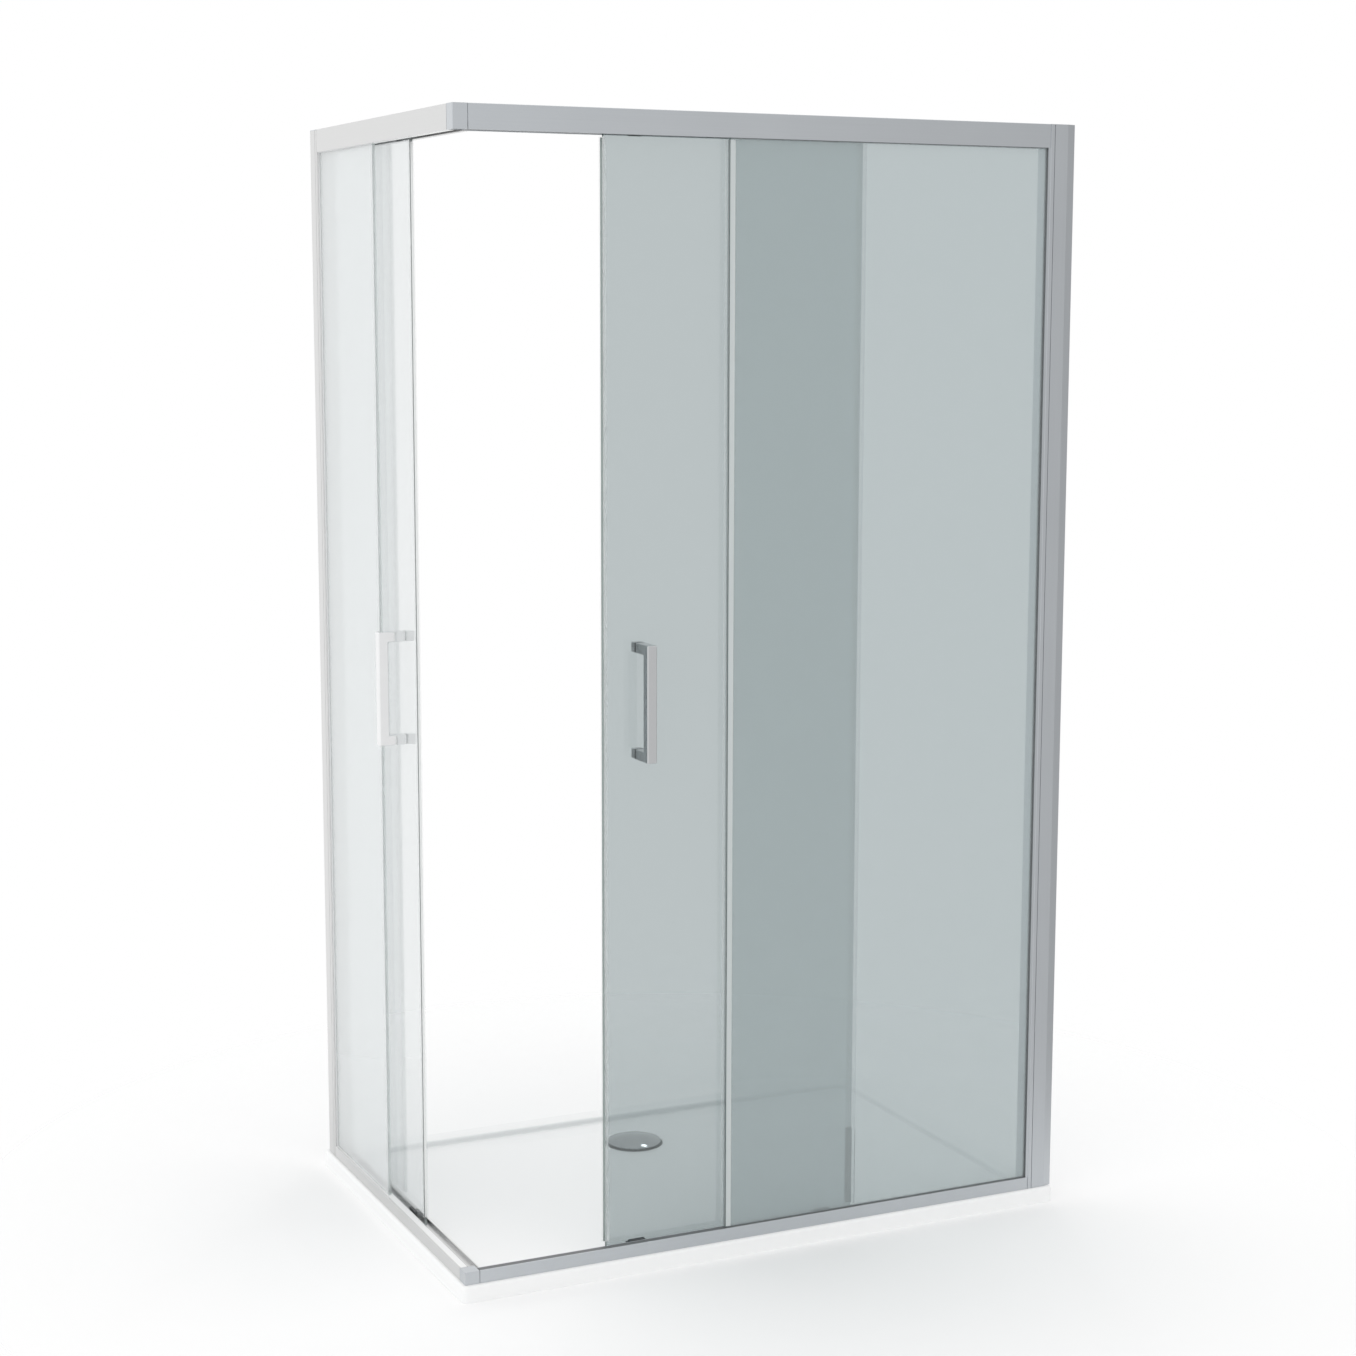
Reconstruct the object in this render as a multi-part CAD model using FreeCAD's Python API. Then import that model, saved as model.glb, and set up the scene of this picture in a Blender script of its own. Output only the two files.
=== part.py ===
import FreeCAD, Part
import math
import os
from collections import namedtuple

# A corner-entry shower cabin. The long front screen runs along X and the short side screen along Y.
# All pieces are built from the outer front left corner of the frame, at the top of the tray rim:
# s runs along a screen towards its wall, t runs inwards from its outer face and z runs up.
# The side screen is built like the front one and then mirrored about the corner's diagonal.

Vector = FreeCAD.Vector
X_AXIS = Vector(1, 0, 0)
Y_AXIS = Vector(0, 1, 0)
Z_AXIS = Vector(0, 0, 1)
DIAGONAL_NORMAL = Vector(1, -1, 0)
FULL_TURN = 360

# Driving sizes of the whole cabin, in millimetres
frame_width = 1200.0
frame_depth = 790.0
frame_height = 2000.0
front_fixed_share = 0.58125
side_fixed_share = 0.4671
closed_edge = 35.0
open_door_reveal = 145.0
front_open_travel = 140.0
side_open_travel = 30.0
door_overlap = 26.5

# Clearances shared by the fits
cut_overrun = 5.0
running_clearance = 0.05
press_clearance = 0.02
slip_clearance = 0.3

# Glass
glass_thickness = 6.0
door_glass_offset = 23.0
glass_hole_clearance = 1.0

# Rails
rail_depth = 45.0
rail_wall = 2.0
rail_edge_radius = 1.0
top_rail_height = 42.0
bottom_rail_height = 23.0
groove_width = 11.5
rib_wall = 1.5
groove_floor = 6.5
groove_web = 1.5
ledge_front = 33.4
ledge_thickness = 2.0
track_width = 2.4
track_height = 3.0
guide_wall_height = 8.0
joint_gap = 0.9
joint_groove_width = 2.0
joint_groove_depth = 1.4

# Corner blocks
block_size = 26.5
block_wall = 2.5
block_edge_radius = 1.2
spigot_length = 45.0
top_spigot_low = 14.0
bottom_spigot_height = 7.5
corner_screw_count = 2
corner_screw_radius = 2.0
corner_screw_length = 9.0
screw_head_radius = 3.2
screw_head_height = 2.2
screw_crown_radius = 2.0

# Wall channels and jamb profiles
channel_reach = 44.5
channel_wall = 1.8
channel_bevel_width = 17.0
channel_bevel_depth = 5.0
channel_bevel_radius = 4.0
channel_cap_thickness = 1.5
wall_hole_radius = 3.25
wall_hole_inset = 150.0
wall_hole_count = 3
jamb_reach = 53.0
jamb_bead = 7.5
jamb_depth = 28.0
jamb_wall = 1.6
jamb_groove_depth = 6.0
jamb_lip = 5.0
jamb_lip_setback = 0.6
jamb_edge_radius = 0.6
jamb_screw_offset = 18.0
jamb_screw_length = 8.0

# Glazing gasket, groove fillers and the strip on the fixed glass
fixed_glass_rise = 30.0
gasket_rail_show = 0.4
gasket_side_show = 0.4
filler_height = 6.5
filler_wall = 1.5
strip_wall = 1.2
strip_end_wall = 2.0
strip_width = 10.5
lip_thickness = 1.2
lip_gap = 0.5

# Door seals
door_glass_low = 10.5
door_glass_rise = 28.0
seal_end_gap = 3.0
seal_wall = 1.0
lead_leg = 6.0
lead_shoulder = 3.0
lead_tip_offset = 1.0
lead_meeting_gap = 0.2
magnet_width = 3.0
magnet_glass_gap = 1.6
magnet_end_gap = 2.0
trail_end_wall = 2.0
trail_width = 12.5

# Handles
handle_centre_height = 997.0
handle_height = 205.0
handle_section = 18.0
handle_projection = 50.0
handle_inset = 58.0
handle_edge_radius = 1.5
handle_cap_thickness = 14.0
handle_cap_chamfer = 0.8
handle_washer_thickness = 1.0
handle_washer_margin = 0.8
handle_stud_radius = 3.0
handle_stud_engagement = 12.0

# Rollers, hangers and their bolts
roller_inset = 60.0
roller_width = 7.0
tread_radius = 9.0
flange_radius = 11.0
flange_width = 1.7
roller_clearance = 0.25
roller_side_gap = 0.5
bolt_radius = 4.0
bolt_head_radius = 8.0
bolt_head_height = 3.0
bolt_head_chamfer = 1.2
bolt_collar_radius = 6.0
bolt_collar_height = 1.2
hanger_width = 32.0
hanger_thickness = 3.5
hanger_drop = 1.0
hanger_height = 30.0
hanger_round = 6.0
stop_length = 14.0
stop_height = 18.0
stop_gap = 0.4
stop_edge_radius = 2.0

# Guide shoes, pins and wheels
guide_inset = 60.0
guide_wheel_radius = 6.2
guide_wheel_width = 5.0
guide_wheel_lift = 0.6
guide_wheel_chamfer = 0.8
guide_pin_radius = 2.0
guide_pin_head_radius = 3.4
guide_pin_head_height = 1.0
guide_head_clearance = 0.1
shoe_width = 30.0
shoe_wall = 2.0
shoe_floor = 1.9
shoe_leg_height = 13.9
shoe_arm_height = 7.4
shoe_arm_length = 13.0
shoe_edge_radius = 0.8

# Tray
tray_height = 30.0
tray_overhang = 7.0
tray_corner_radius = 10.0
tray_edge_radius = 6.0
basin_front_rim = 57.0
basin_wall_rim = 48.0
basin_corner_radius = 40.0
basin_edge_radius = 6.0
basin_foot_radius = 4.0
basin_depth = 11.0
basin_flat_edge = 14.0
basin_fall = 4.0
drain_from_left = 592.0
drain_from_front = 608.0
drain_dish_half = 85.0
drain_recess_radius = 58.3
drain_recess_depth = 4.0
drain_bore_radius = 45.0

# Drain flange and cover
flange_ring_inner = 38.0
flange_ring_thickness = 3.0
spoke_count = 3
spoke_width = 6.0
boss_radius = 9.0
stem_radius = 4.0
cover_radius = 54.0
cover_rise = 8.5
cover_wall = 2.0
cover_rim = 1.5
cover_edge_height = 4.5
cover_foot_radius = 3.0
cover_foot_inset = 6.0
cover_seat_gap = 0.1

# Places worked out from the sizes above. Both doors are shown equally open: as far as the narrower entry
# lets them with the handles clear of the fixed glass.
front_fixed_edge = frame_width * (1 - front_fixed_share)
side_fixed_edge = frame_depth * (1 - side_fixed_share)
shown_opening = min(front_fixed_edge, side_fixed_edge) - closed_edge - open_door_reveal
door_lead = closed_edge + shown_opening
top_rail_low = frame_height - top_rail_height
groove_front = rail_wall
groove_back = groove_front + groove_width
rib_back = groove_back + rib_wall
gasket_wall = (groove_width - glass_thickness) / 2
fixed_glass_front = groove_front + gasket_wall
fixed_glass_back = fixed_glass_front + glass_thickness
door_front = door_glass_offset
door_back = door_front + glass_thickness
door_middle = door_front + glass_thickness / 2
track_centre = rail_depth - rail_wall - slip_clearance - guide_wheel_radius
roller_axis_height = top_rail_low + ledge_thickness + track_height + roller_clearance + tread_radius
hanger_back = door_back + hanger_thickness
roller_front = hanger_back + roller_side_gap
roller_back = roller_front + roller_width
uprights_height = frame_height - channel_cap_thickness
seal_low = bottom_rail_height + seal_end_gap
seal_high = top_rail_low - seal_end_gap
jamb_step = channel_wall + slip_clearance
rail_start = block_size + joint_gap
handle_middle = door_lead + handle_inset + handle_section / 2
guide_wheel_low = rail_wall + guide_wheel_lift
guide_wheel_high = guide_wheel_low + guide_wheel_width
shoe_low = door_glass_low - shoe_floor
shoe_arm_top = shoe_low + shoe_arm_height
basin_floor = -basin_depth - basin_fall
recess_floor = basin_floor - drain_recess_depth


Screen = namedtuple("Screen", "name run fixed_edge open_travel mirrored")
FRONT = Screen("front", frame_width, front_fixed_edge, front_open_travel, False)
SIDE = Screen("side", frame_depth, side_fixed_edge, side_open_travel, True)


def jamb_start(screen):
    return screen.run - jamb_reach


def door_trail(screen):
    return door_lead + screen.fixed_edge + door_overlap - closed_edge


def hanger_places(screen):
    return [door_lead + roller_inset, door_trail(screen) - roller_inset]


def guide_places(screen):
    return [door_lead + guide_inset, door_trail(screen) - guide_inset]


def handle_post_heights():
    reach = (handle_height - handle_section) / 2
    return [handle_centre_height - reach, handle_centre_height + reach]


# Shape helpers
def in_section(s):
    """Places (t, z) points of a rail section at one s."""
    return lambda t, z: Vector(s, t, z)


def in_plan(z):
    """Places (s, t) points of an upright's section at one z."""
    return lambda s, t: Vector(s, t, z)


def on_pane(t):
    """Places (s, z) points of a flat piece at one t."""
    return lambda s, z: Vector(s, t, z)


def rounded_corner(before, here, after):
    """Start, middle and end of the arc that rounds the corner at here, whose third value is the radius."""
    corner = Vector(here[0], here[1], 0)
    back = (Vector(before[0], before[1], 0) - corner).normalize()
    ahead = (Vector(after[0], after[1], 0) - corner).normalize()
    half_angle = back.getAngle(ahead) / 2
    reach = here[2] / math.tan(half_angle)
    bisector = (back + ahead).normalize()
    middle = corner + bisector * (here[2] / math.sin(half_angle) - here[2])
    return [corner + back * reach, middle, corner + ahead * reach]


def outline(points, place):
    """Closed wire through 2D points. A point with a third value is rounded to that radius."""
    stations = []
    for index, point in enumerate(points):
        if len(point) > 2:
            neighbour = points[(index + 1) % len(points)]
            stations.append(rounded_corner(points[index - 1], point, neighbour))
        else:
            stations.append([Vector(point[0], point[1], 0)])
    edges = []
    for index, station in enumerate(stations):
        spots = [place(spot.x, spot.y) for spot in station]
        if len(spots) > 1:
            edges.append(Part.Arc(*spots).toShape())
        following = stations[(index + 1) % len(stations)][0]
        edges.append(Part.LineSegment(spots[-1], place(following.x, following.y)).toShape())
    return Part.Wire(edges)


def extrude(points, place, sweep):
    """Solid of a closed outline pushed along a vector."""
    return Part.Face(outline(points, place)).extrude(sweep)


def block(low, high):
    """Box between two corners."""
    size = [b - a for a, b in zip(low, high)]
    return Part.makeBox(size[0], size[1], size[2], Vector(*low))


def rectangle(low, high, radius=None):
    """Corner points of a rectangle, with a corner radius where one is given."""
    corners = [(low[0], low[1]), (high[0], low[1]), (high[0], high[1]), (low[0], high[1])]
    return [corner + (radius,) for corner in corners] if radius else corners


def turned_along_t(points, s, z):
    """Solid of revolution about a line along t. Points are (radius, t)."""
    face = Part.Face(outline(points, lambda radius, t: Vector(s + radius, t, z)))
    return face.revolve(Vector(s, 0, z), Y_AXIS, FULL_TURN)


def turned_along_z(points, s, t):
    """Solid of revolution about an upright line. Points are (radius, z)."""
    face = Part.Face(outline(points, lambda radius, z: Vector(s + radius, t, z)))
    return face.revolve(Vector(s, t, 0), Z_AXIS, FULL_TURN)


def rod_along_s(radius, s_from, s_to, t, z):
    return Part.makeCylinder(radius, s_to - s_from, Vector(s_from, t, z), X_AXIS)


def rod_along_t(radius, t_from, t_to, s, z):
    return Part.makeCylinder(radius, t_to - t_from, Vector(s, t_from, z), Y_AXIS)


def rod_along_z(radius, z_from, z_to, s, t):
    return Part.makeCylinder(radius, z_to - z_from, Vector(s, t, z_from), Z_AXIS)


def fuse(shapes):
    return shapes[0].multiFuse(shapes[1:]).removeSplitter()


# Frame extrusions
def mitre_wedge(low, high):
    """Removes what lies past the corner's diagonal from a rail, with a gap to the other screen's rail."""
    reach = rail_depth + cut_overrun
    points = [(block_size, block_size - joint_gap), (reach, reach - joint_gap), (block_size, reach)]
    return extrude(points, in_plan(low - cut_overrun), Z_AXIS * (high - low + 2 * cut_overrun))


def joint_groove(screen, low, high):
    """Shadow groove across a rail's outer face, where the rail meets the jamb."""
    end = jamb_start(screen)
    return block((end - joint_groove_width, -cut_overrun, low - cut_overrun),
                 (end + cut_overrun, joint_groove_depth, high + cut_overrun))


def corner_screw_places(height_centre):
    """(s, z) of the screws through one rail's rib into its spigot."""
    step = spigot_length / (corner_screw_count + 1)
    return [(block_size + step * (n + 1), height_centre) for n in range(corner_screw_count)]


def top_screw_places():
    return corner_screw_places((top_rail_low + top_spigot_low + frame_height - rail_wall) / 2)


def bottom_screw_places():
    return corner_screw_places(groove_floor + bottom_spigot_height / 2)


def rib_screw_holes(places):
    radius = corner_screw_radius + running_clearance
    tip = rib_back - corner_screw_length - press_clearance
    return [rod_along_t(radius, tip, rib_back + cut_overrun, s, z) for s, z in places]


def top_rail(screen):
    roof = frame_height - rail_wall
    ledge_top = top_rail_low + ledge_thickness
    track_top = ledge_top + track_height
    track_from = track_centre - track_width / 2
    track_to = track_centre + track_width / 2
    back_inside = rail_depth - rail_wall
    points = [
        (0, top_rail_low), (0, frame_height, rail_edge_radius), (rail_depth, frame_height, rail_edge_radius),
        (rail_depth, top_rail_low), (ledge_front, top_rail_low), (ledge_front, ledge_top),
        (track_from, ledge_top), (track_from, track_top), (track_to, track_top), (track_to, ledge_top),
        (back_inside, ledge_top), (back_inside, roof), (rib_back, roof), (rib_back, top_rail_low),
        (groove_back, top_rail_low), (groove_back, roof), (groove_front, roof), (groove_front, top_rail_low),
    ]
    rail = extrude(points, in_section(rail_start), X_AXIS * (jamb_start(screen) - rail_start))
    cutters = [mitre_wedge(top_rail_low, frame_height), joint_groove(screen, top_rail_low, frame_height)]
    return rail.cut(cutters + rib_screw_holes(top_screw_places()))


def bottom_rail(screen):
    back_inside = rail_depth - rail_wall
    guide_inside = track_centre - guide_wheel_radius - slip_clearance
    guide_outside = guide_inside - rib_wall
    points = [
        (0, 0), (0, bottom_rail_height, rail_edge_radius), (groove_front, bottom_rail_height),
        (groove_front, groove_floor), (groove_back, groove_floor), (groove_back, bottom_rail_height),
        (rib_back, bottom_rail_height), (rib_back, rail_wall), (guide_outside, rail_wall),
        (guide_outside, guide_wall_height), (guide_inside, guide_wall_height), (guide_inside, rail_wall),
        (back_inside, rail_wall), (back_inside, guide_wall_height), (rail_depth, guide_wall_height),
        (rail_depth, 0),
    ]
    rail = extrude(points, in_section(rail_start), X_AXIS * (jamb_start(screen) - rail_start))
    chamber = block((block_size - cut_overrun, groove_front, rail_wall),
                    (jamb_start(screen) + cut_overrun, groove_back, groove_floor - groove_web))
    cutters = [mitre_wedge(0, bottom_rail_height), joint_groove(screen, 0, bottom_rail_height), chamber]
    return rail.cut(cutters + rib_screw_holes(bottom_screw_places()))


def wall_channel_outline(screen, start):
    """Outer plan of the upright from start to the wall, bevelled at the outer wall edge."""
    return [(start, 0), (screen.run - channel_bevel_width, 0, channel_bevel_radius),
            (screen.run, channel_bevel_depth), (screen.run, rail_depth), (start, rail_depth)]


def wall_hole_heights():
    step = (frame_height - 2 * wall_hole_inset) / (wall_hole_count - 1)
    return [wall_hole_inset + step * n for n in range(wall_hole_count)]


def wall_channel(screen):
    mouth = screen.run - channel_reach
    inside = screen.run - rail_wall
    outer = extrude(wall_channel_outline(screen, mouth), in_plan(0), Z_AXIS * uprights_height)
    hollow = extrude(
        [(mouth - cut_overrun, channel_wall), (screen.run - channel_bevel_width, channel_wall),
         (inside, channel_bevel_depth + channel_wall), (inside, rail_depth - channel_wall),
         (mouth - cut_overrun, rail_depth - channel_wall)],
        in_plan(-cut_overrun), Z_AXIS * (frame_height + 2 * cut_overrun))
    wall_holes = [rod_along_s(wall_hole_radius, inside - cut_overrun, screen.run + cut_overrun,
                              rail_depth / 2, z)
                  for z in wall_hole_heights()]
    return outer.cut([hollow] + wall_holes + jamb_screw_holes(screen))


def jamb_screw_places(screen):
    return [(jamb_start(screen) + jamb_screw_offset, z) for z in wall_hole_heights()]


def jamb_screw_holes(screen):
    radius = corner_screw_radius + running_clearance
    return [rod_along_t(radius, rail_depth - jamb_screw_length, rail_depth + cut_overrun, s, z)
            for s, z in jamb_screw_places(screen)]


def jamb_profile(screen):
    start = jamb_start(screen)
    bead_end = start + jamb_bead
    end = start + jamb_depth
    step_back = rail_depth - jamb_step
    body = extrude(
        [(start, 0, jamb_edge_radius), (bead_end, 0), (bead_end, jamb_step), (end, jamb_step),
         (end, step_back), (bead_end, step_back), (bead_end, rail_depth),
         (start, rail_depth, jamb_edge_radius)],
        in_plan(0), Z_AXIS * uprights_height)
    groove = block((start - cut_overrun, groove_front, -cut_overrun),
                   (start + jamb_groove_depth, groove_back, frame_height))
    web = start + jamb_groove_depth + jamb_wall
    shallow = start + jamb_wall
    chamber = extrude(
        [(web, jamb_step + jamb_wall), (end - jamb_wall, jamb_step + jamb_wall),
         (end - jamb_wall, step_back - jamb_wall), (shallow, step_back - jamb_wall), (shallow, rib_back),
         (web, rib_back)],
        in_plan(-cut_overrun), Z_AXIS * (frame_height + cut_overrun))
    lips = [block((start - jamb_lip, t_from, bottom_rail_height), (start, t_to, top_rail_low))
            for t_from, t_to in ((jamb_lip_setback, groove_front), (groove_back, rib_back))]
    return fuse([body.cut([groove, chamber] + jamb_screw_holes(screen))] + lips)


def jamb_screws():
    screws = []
    for screen in (FRONT, SIDE):
        for s, z in jamb_screw_places(screen):
            screws.append(placed(screen, headed_screw(s, z, rail_depth, jamb_screw_length)))
    return Part.makeCompound(screws)


def headed_screw(s, z, seat, length):
    """Screw along t with its shank before the seat and its raised head behind it."""
    tip = seat - length
    crown = seat + screw_head_height
    points = [(0, tip), (corner_screw_radius, tip), (corner_screw_radius, seat), (screw_head_radius, seat),
              (screw_crown_radius, crown), (0, crown)]
    return turned_along_t(points, s, z)


def wall_channel_caps():
    caps = [placed(screen, extrude(wall_channel_outline(screen, jamb_start(screen)), in_plan(uprights_height),
                                   Z_AXIS * channel_cap_thickness))
            for screen in (FRONT, SIDE)]
    return Part.makeCompound(caps)


# Corner blocks
def corner_block(low, high, spigot_from, spigot_to, hollow_from, hollow_to, screw_places):
    """Square casting with a hollow inside and a spigot for each rail."""
    plan = [(0, 0, block_edge_radius), (block_size, 0), (block_size, block_size), (0, block_size)]
    body = extrude(plan, in_plan(low), Z_AXIS * (high - low))
    inner = block_size - block_wall
    hollow = block((block_wall, block_wall, hollow_from), (inner, inner, hollow_to))
    spigot = block((block_size, groove_front + slip_clearance, spigot_from),
                   (block_size + spigot_length, groove_back - press_clearance, spigot_to))
    spigot = spigot.cut(rib_screw_holes(screw_places))
    return fuse([body.cut(hollow), spigot, spigot.mirror(Vector(0, 0, 0), DIAGONAL_NORMAL)])


def top_corner_block():
    return corner_block(top_rail_low, frame_height, top_rail_low + top_spigot_low,
                        frame_height - rail_wall - press_clearance, top_rail_low - cut_overrun,
                        frame_height - block_wall, top_screw_places())


def bottom_corner_block():
    return corner_block(0, bottom_rail_height, groove_floor + press_clearance,
                        groove_floor + bottom_spigot_height, -cut_overrun,
                        bottom_rail_height - block_wall, bottom_screw_places())


def corner_screws():
    screws = []
    for screen in (FRONT, SIDE):
        for s, z in top_screw_places() + bottom_screw_places():
            screws.append(placed(screen, headed_screw(s, z, rib_back, corner_screw_length)))
    return Part.makeCompound(screws)


# Fixed glass and what holds it
def fixed_glass_box(screen):
    return block((screen.fixed_edge + strip_end_wall, fixed_glass_front, groove_floor + gasket_wall),
                 (jamb_start(screen) + jamb_groove_depth - gasket_wall, fixed_glass_back,
                  top_rail_low + fixed_glass_rise))


def glazing_gasket(screen):
    start = jamb_start(screen)
    body = block((screen.fixed_edge, groove_front, groove_floor),
                 (start + jamb_groove_depth, groove_back, top_rail_low + fixed_glass_rise + gasket_wall))
    window = block((screen.fixed_edge - cut_overrun, groove_front - cut_overrun,
                    bottom_rail_height + gasket_rail_show),
                   (start - jamb_lip - gasket_side_show, groove_back + cut_overrun,
                    top_rail_low - gasket_rail_show))
    pane = fixed_glass_box(screen)
    return body.cut([window, pane])


def groove_fillers(screen):
    """Two rubber channels that close the grooves between the corner block and the fixed glass."""
    length = X_AXIS * (screen.fixed_edge - rail_start)
    strips = []
    for lip, inward in ((bottom_rail_height, -1), (top_rail_low, 1)):
        face = lip + inward * filler_wall
        edge = lip + inward * filler_height
        points = [(groove_front, lip), (groove_back, lip), (groove_back, edge),
                  (groove_back - filler_wall, edge), (groove_back - filler_wall, face),
                  (groove_front + filler_wall, face), (groove_front + filler_wall, edge),
                  (groove_front, edge)]
        strips.append(extrude(points, in_section(rail_start), length))
    return Part.makeCompound(strips)


def edge_strip(screen):
    """Channel on the free edge of the fixed glass, with a lip that reaches towards the door."""
    start = screen.fixed_edge
    pane = start + strip_end_wall
    end = start + strip_width
    front = fixed_glass_front - strip_wall
    back = fixed_glass_back + strip_wall
    lip_end = door_front - lip_gap
    points = [(start, front, strip_wall / 2), (end, front), (end, fixed_glass_front),
              (pane, fixed_glass_front), (pane, fixed_glass_back), (end, fixed_glass_back), (end, back),
              (start + lip_thickness, back), (start + lip_thickness, lip_end), (start, lip_end)]
    return extrude(points, in_plan(seal_low), Z_AXIS * (seal_high - seal_low))


def door_stop(screen):
    """Rubber block on the roller ledge that the trailing roller meets when the door is fully open."""
    start = hanger_places(screen)[1] + screen.open_travel + flange_radius + stop_gap
    ledge_top = top_rail_low + ledge_thickness
    track_from = track_centre - track_width / 2 - press_clearance
    track_to = track_centre + track_width / 2 + press_clearance
    notch_top = ledge_top + track_height + press_clearance
    back = rail_depth - rail_wall - press_clearance
    points = [(ledge_front, ledge_top), (track_from, ledge_top), (track_from, notch_top),
              (track_to, notch_top), (track_to, ledge_top), (back, ledge_top),
              (back, ledge_top + stop_height), (ledge_front, ledge_top + stop_height, stop_edge_radius)]
    return extrude(points, in_section(start), X_AXIS * stop_length)


# Doors
def door_glass(screen):
    pane = block((door_lead, door_front, door_glass_low),
                 (door_trail(screen), door_back, top_rail_low + door_glass_rise))
    holes = [rod_along_t(bolt_radius + glass_hole_clearance, door_front - cut_overrun,
                         door_back + cut_overrun, s, roller_axis_height)
             for s in hanger_places(screen)]
    holes += [rod_along_t(handle_stud_radius + glass_hole_clearance, door_front - cut_overrun,
                          door_back + cut_overrun, handle_middle, z)
              for z in handle_post_heights()]
    return pane.cut(holes)


def lead_seal():
    """Clear magnet seal. Its slanted face meets the other door's on the corner's diagonal."""
    front = door_front - seal_wall
    back = door_back + seal_wall
    tip = door_middle + lead_tip_offset
    meeting = shown_opening + lead_meeting_gap
    leg_end = door_lead + lead_leg
    points = [(leg_end, front), (leg_end, door_front), (door_lead, door_front), (door_lead, door_back),
              (leg_end, door_back), (leg_end, back), (back + meeting, back), (tip + meeting, tip),
              (door_lead - lead_shoulder, front)]
    seal = extrude(points, in_plan(seal_low), Z_AXIS * (seal_high - seal_low))
    return seal.cut(magnet_bar(slip_clearance, seal_low - cut_overrun, seal_high + cut_overrun))


def magnet_bar(margin, z_from, z_to):
    """Square bar inside the leading seal, grown by a margin on its four sides."""
    s_to = door_lead - magnet_glass_gap
    t_from = door_middle - magnet_width / 2
    return block((s_to - magnet_width - margin, t_from - margin, z_from),
                 (s_to + margin, t_from + magnet_width + margin, z_to))


def lead_magnet():
    return magnet_bar(0, seal_low + magnet_end_gap, seal_high - magnet_end_gap)


def trail_seal(screen):
    """Clear seal on the trailing edge, with a lip that reaches towards the fixed glass."""
    pane = door_trail(screen)
    end = pane + trail_end_wall
    start = end - trail_width
    front = door_front - seal_wall
    back = door_back + seal_wall
    lip_end = fixed_glass_back + lip_gap
    points = [(start, front), (end - lip_thickness, front), (end - lip_thickness, lip_end), (end, lip_end),
              (end, back), (start, back), (start, door_back), (pane, door_back), (pane, door_front),
              (start, door_front)]
    return extrude(points, in_plan(seal_low), Z_AXIS * (seal_high - seal_low))


def handle():
    """Square bow: a grip bar and two posts in one piece, with eased edges and blind stud holes."""
    seat = door_front - handle_washer_thickness
    reach = door_front - handle_projection
    s_from = handle_middle - handle_section / 2
    s_to = handle_middle + handle_section / 2
    z_from = handle_centre_height - handle_height / 2
    z_to = handle_centre_height + handle_height / 2
    bow = block((s_from, reach, z_from), (s_to, seat, z_to))
    window = block((s_from - cut_overrun, reach + handle_section, z_from + handle_section),
                   (s_to + cut_overrun, seat + cut_overrun, z_to - handle_section))
    bow = bow.cut(window)
    eased = [edge for edge in bow.Edges if edge.BoundBox.YMin < seat - press_clearance]
    bow = bow.makeFillet(handle_edge_radius, eased)
    radius = handle_stud_radius + running_clearance
    stud_holes = [rod_along_t(radius, seat - handle_stud_engagement, seat + cut_overrun, handle_middle, z)
                  for z in handle_post_heights()]
    return bow.cut(stud_holes)


def handle_pads(t_from, t_to, margin, hole_radius, hole_to, radius=None):
    """Square pads behind or before both handle posts, with a hole for the stud."""
    half = handle_section / 2 - margin
    pads = []
    for z in handle_post_heights():
        corners = rectangle((handle_middle - half, z - half), (handle_middle + half, z + half), radius)
        plate = extrude(corners, on_pane(t_from), Y_AXIS * (t_to - t_from))
        pads.append(plate.cut(rod_along_t(hole_radius, t_from - cut_overrun, hole_to, handle_middle, z)))
    return pads


def handle_caps():
    start = door_back + handle_washer_thickness
    end = start + handle_cap_thickness
    stud_end = start + handle_stud_engagement
    pads = handle_pads(start, end, 0, handle_stud_radius + running_clearance, stud_end, handle_edge_radius)
    eased = []
    for pad in pads:
        rim = [edge for edge in pad.Edges if edge.BoundBox.YMin > end - press_clearance]
        eased.append(pad.makeChamfer(handle_cap_chamfer, rim))
    return Part.makeCompound(eased)


def handle_washers():
    radius = handle_stud_radius + running_clearance
    outer = handle_pads(door_front - handle_washer_thickness, door_front, handle_washer_margin, radius,
                        door_front + cut_overrun)
    inner = handle_pads(door_back, door_back + handle_washer_thickness, handle_washer_margin, radius,
                        door_back + cut_overrun)
    return Part.makeCompound(outer + inner)


def handle_screws():
    start = door_front - handle_washer_thickness - handle_stud_engagement + press_clearance
    end = door_back + handle_washer_thickness + handle_stud_engagement - press_clearance
    studs = [rod_along_t(handle_stud_radius, start, end, handle_middle, z) for z in handle_post_heights()]
    return Part.makeCompound(studs)


def roller_hangers(screen):
    """Plates clamped behind the glass, which stand a little below the top rail."""
    low = top_rail_low - hanger_drop
    half = hanger_width / 2
    plates = []
    for s in hanger_places(screen):
        plate = extrude(rectangle((s - half, low), (s + half, low + hanger_height), hanger_round),
                        on_pane(door_back), Y_AXIS * hanger_thickness)
        hole = rod_along_t(bolt_radius + running_clearance, door_back - cut_overrun,
                           hanger_back + cut_overrun, s, roller_axis_height)
        plates.append(plate.cut(hole))
    return Part.makeCompound(plates)


def roller_bolts(screen):
    """Bolts with a flat head on the outer glass face and a collar behind the roller."""
    head = door_front - bolt_head_height
    collar = roller_back + slip_clearance
    end = collar + bolt_collar_height
    points = [(0, head), (bolt_head_radius - bolt_head_chamfer, head),
              (bolt_head_radius, head + bolt_head_chamfer), (bolt_head_radius, door_front),
              (bolt_radius, door_front), (bolt_radius, collar), (bolt_collar_radius, collar),
              (bolt_collar_radius, end), (0, end)]
    return Part.makeCompound([turned_along_t(points, s, roller_axis_height) for s in hanger_places(screen)])


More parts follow.
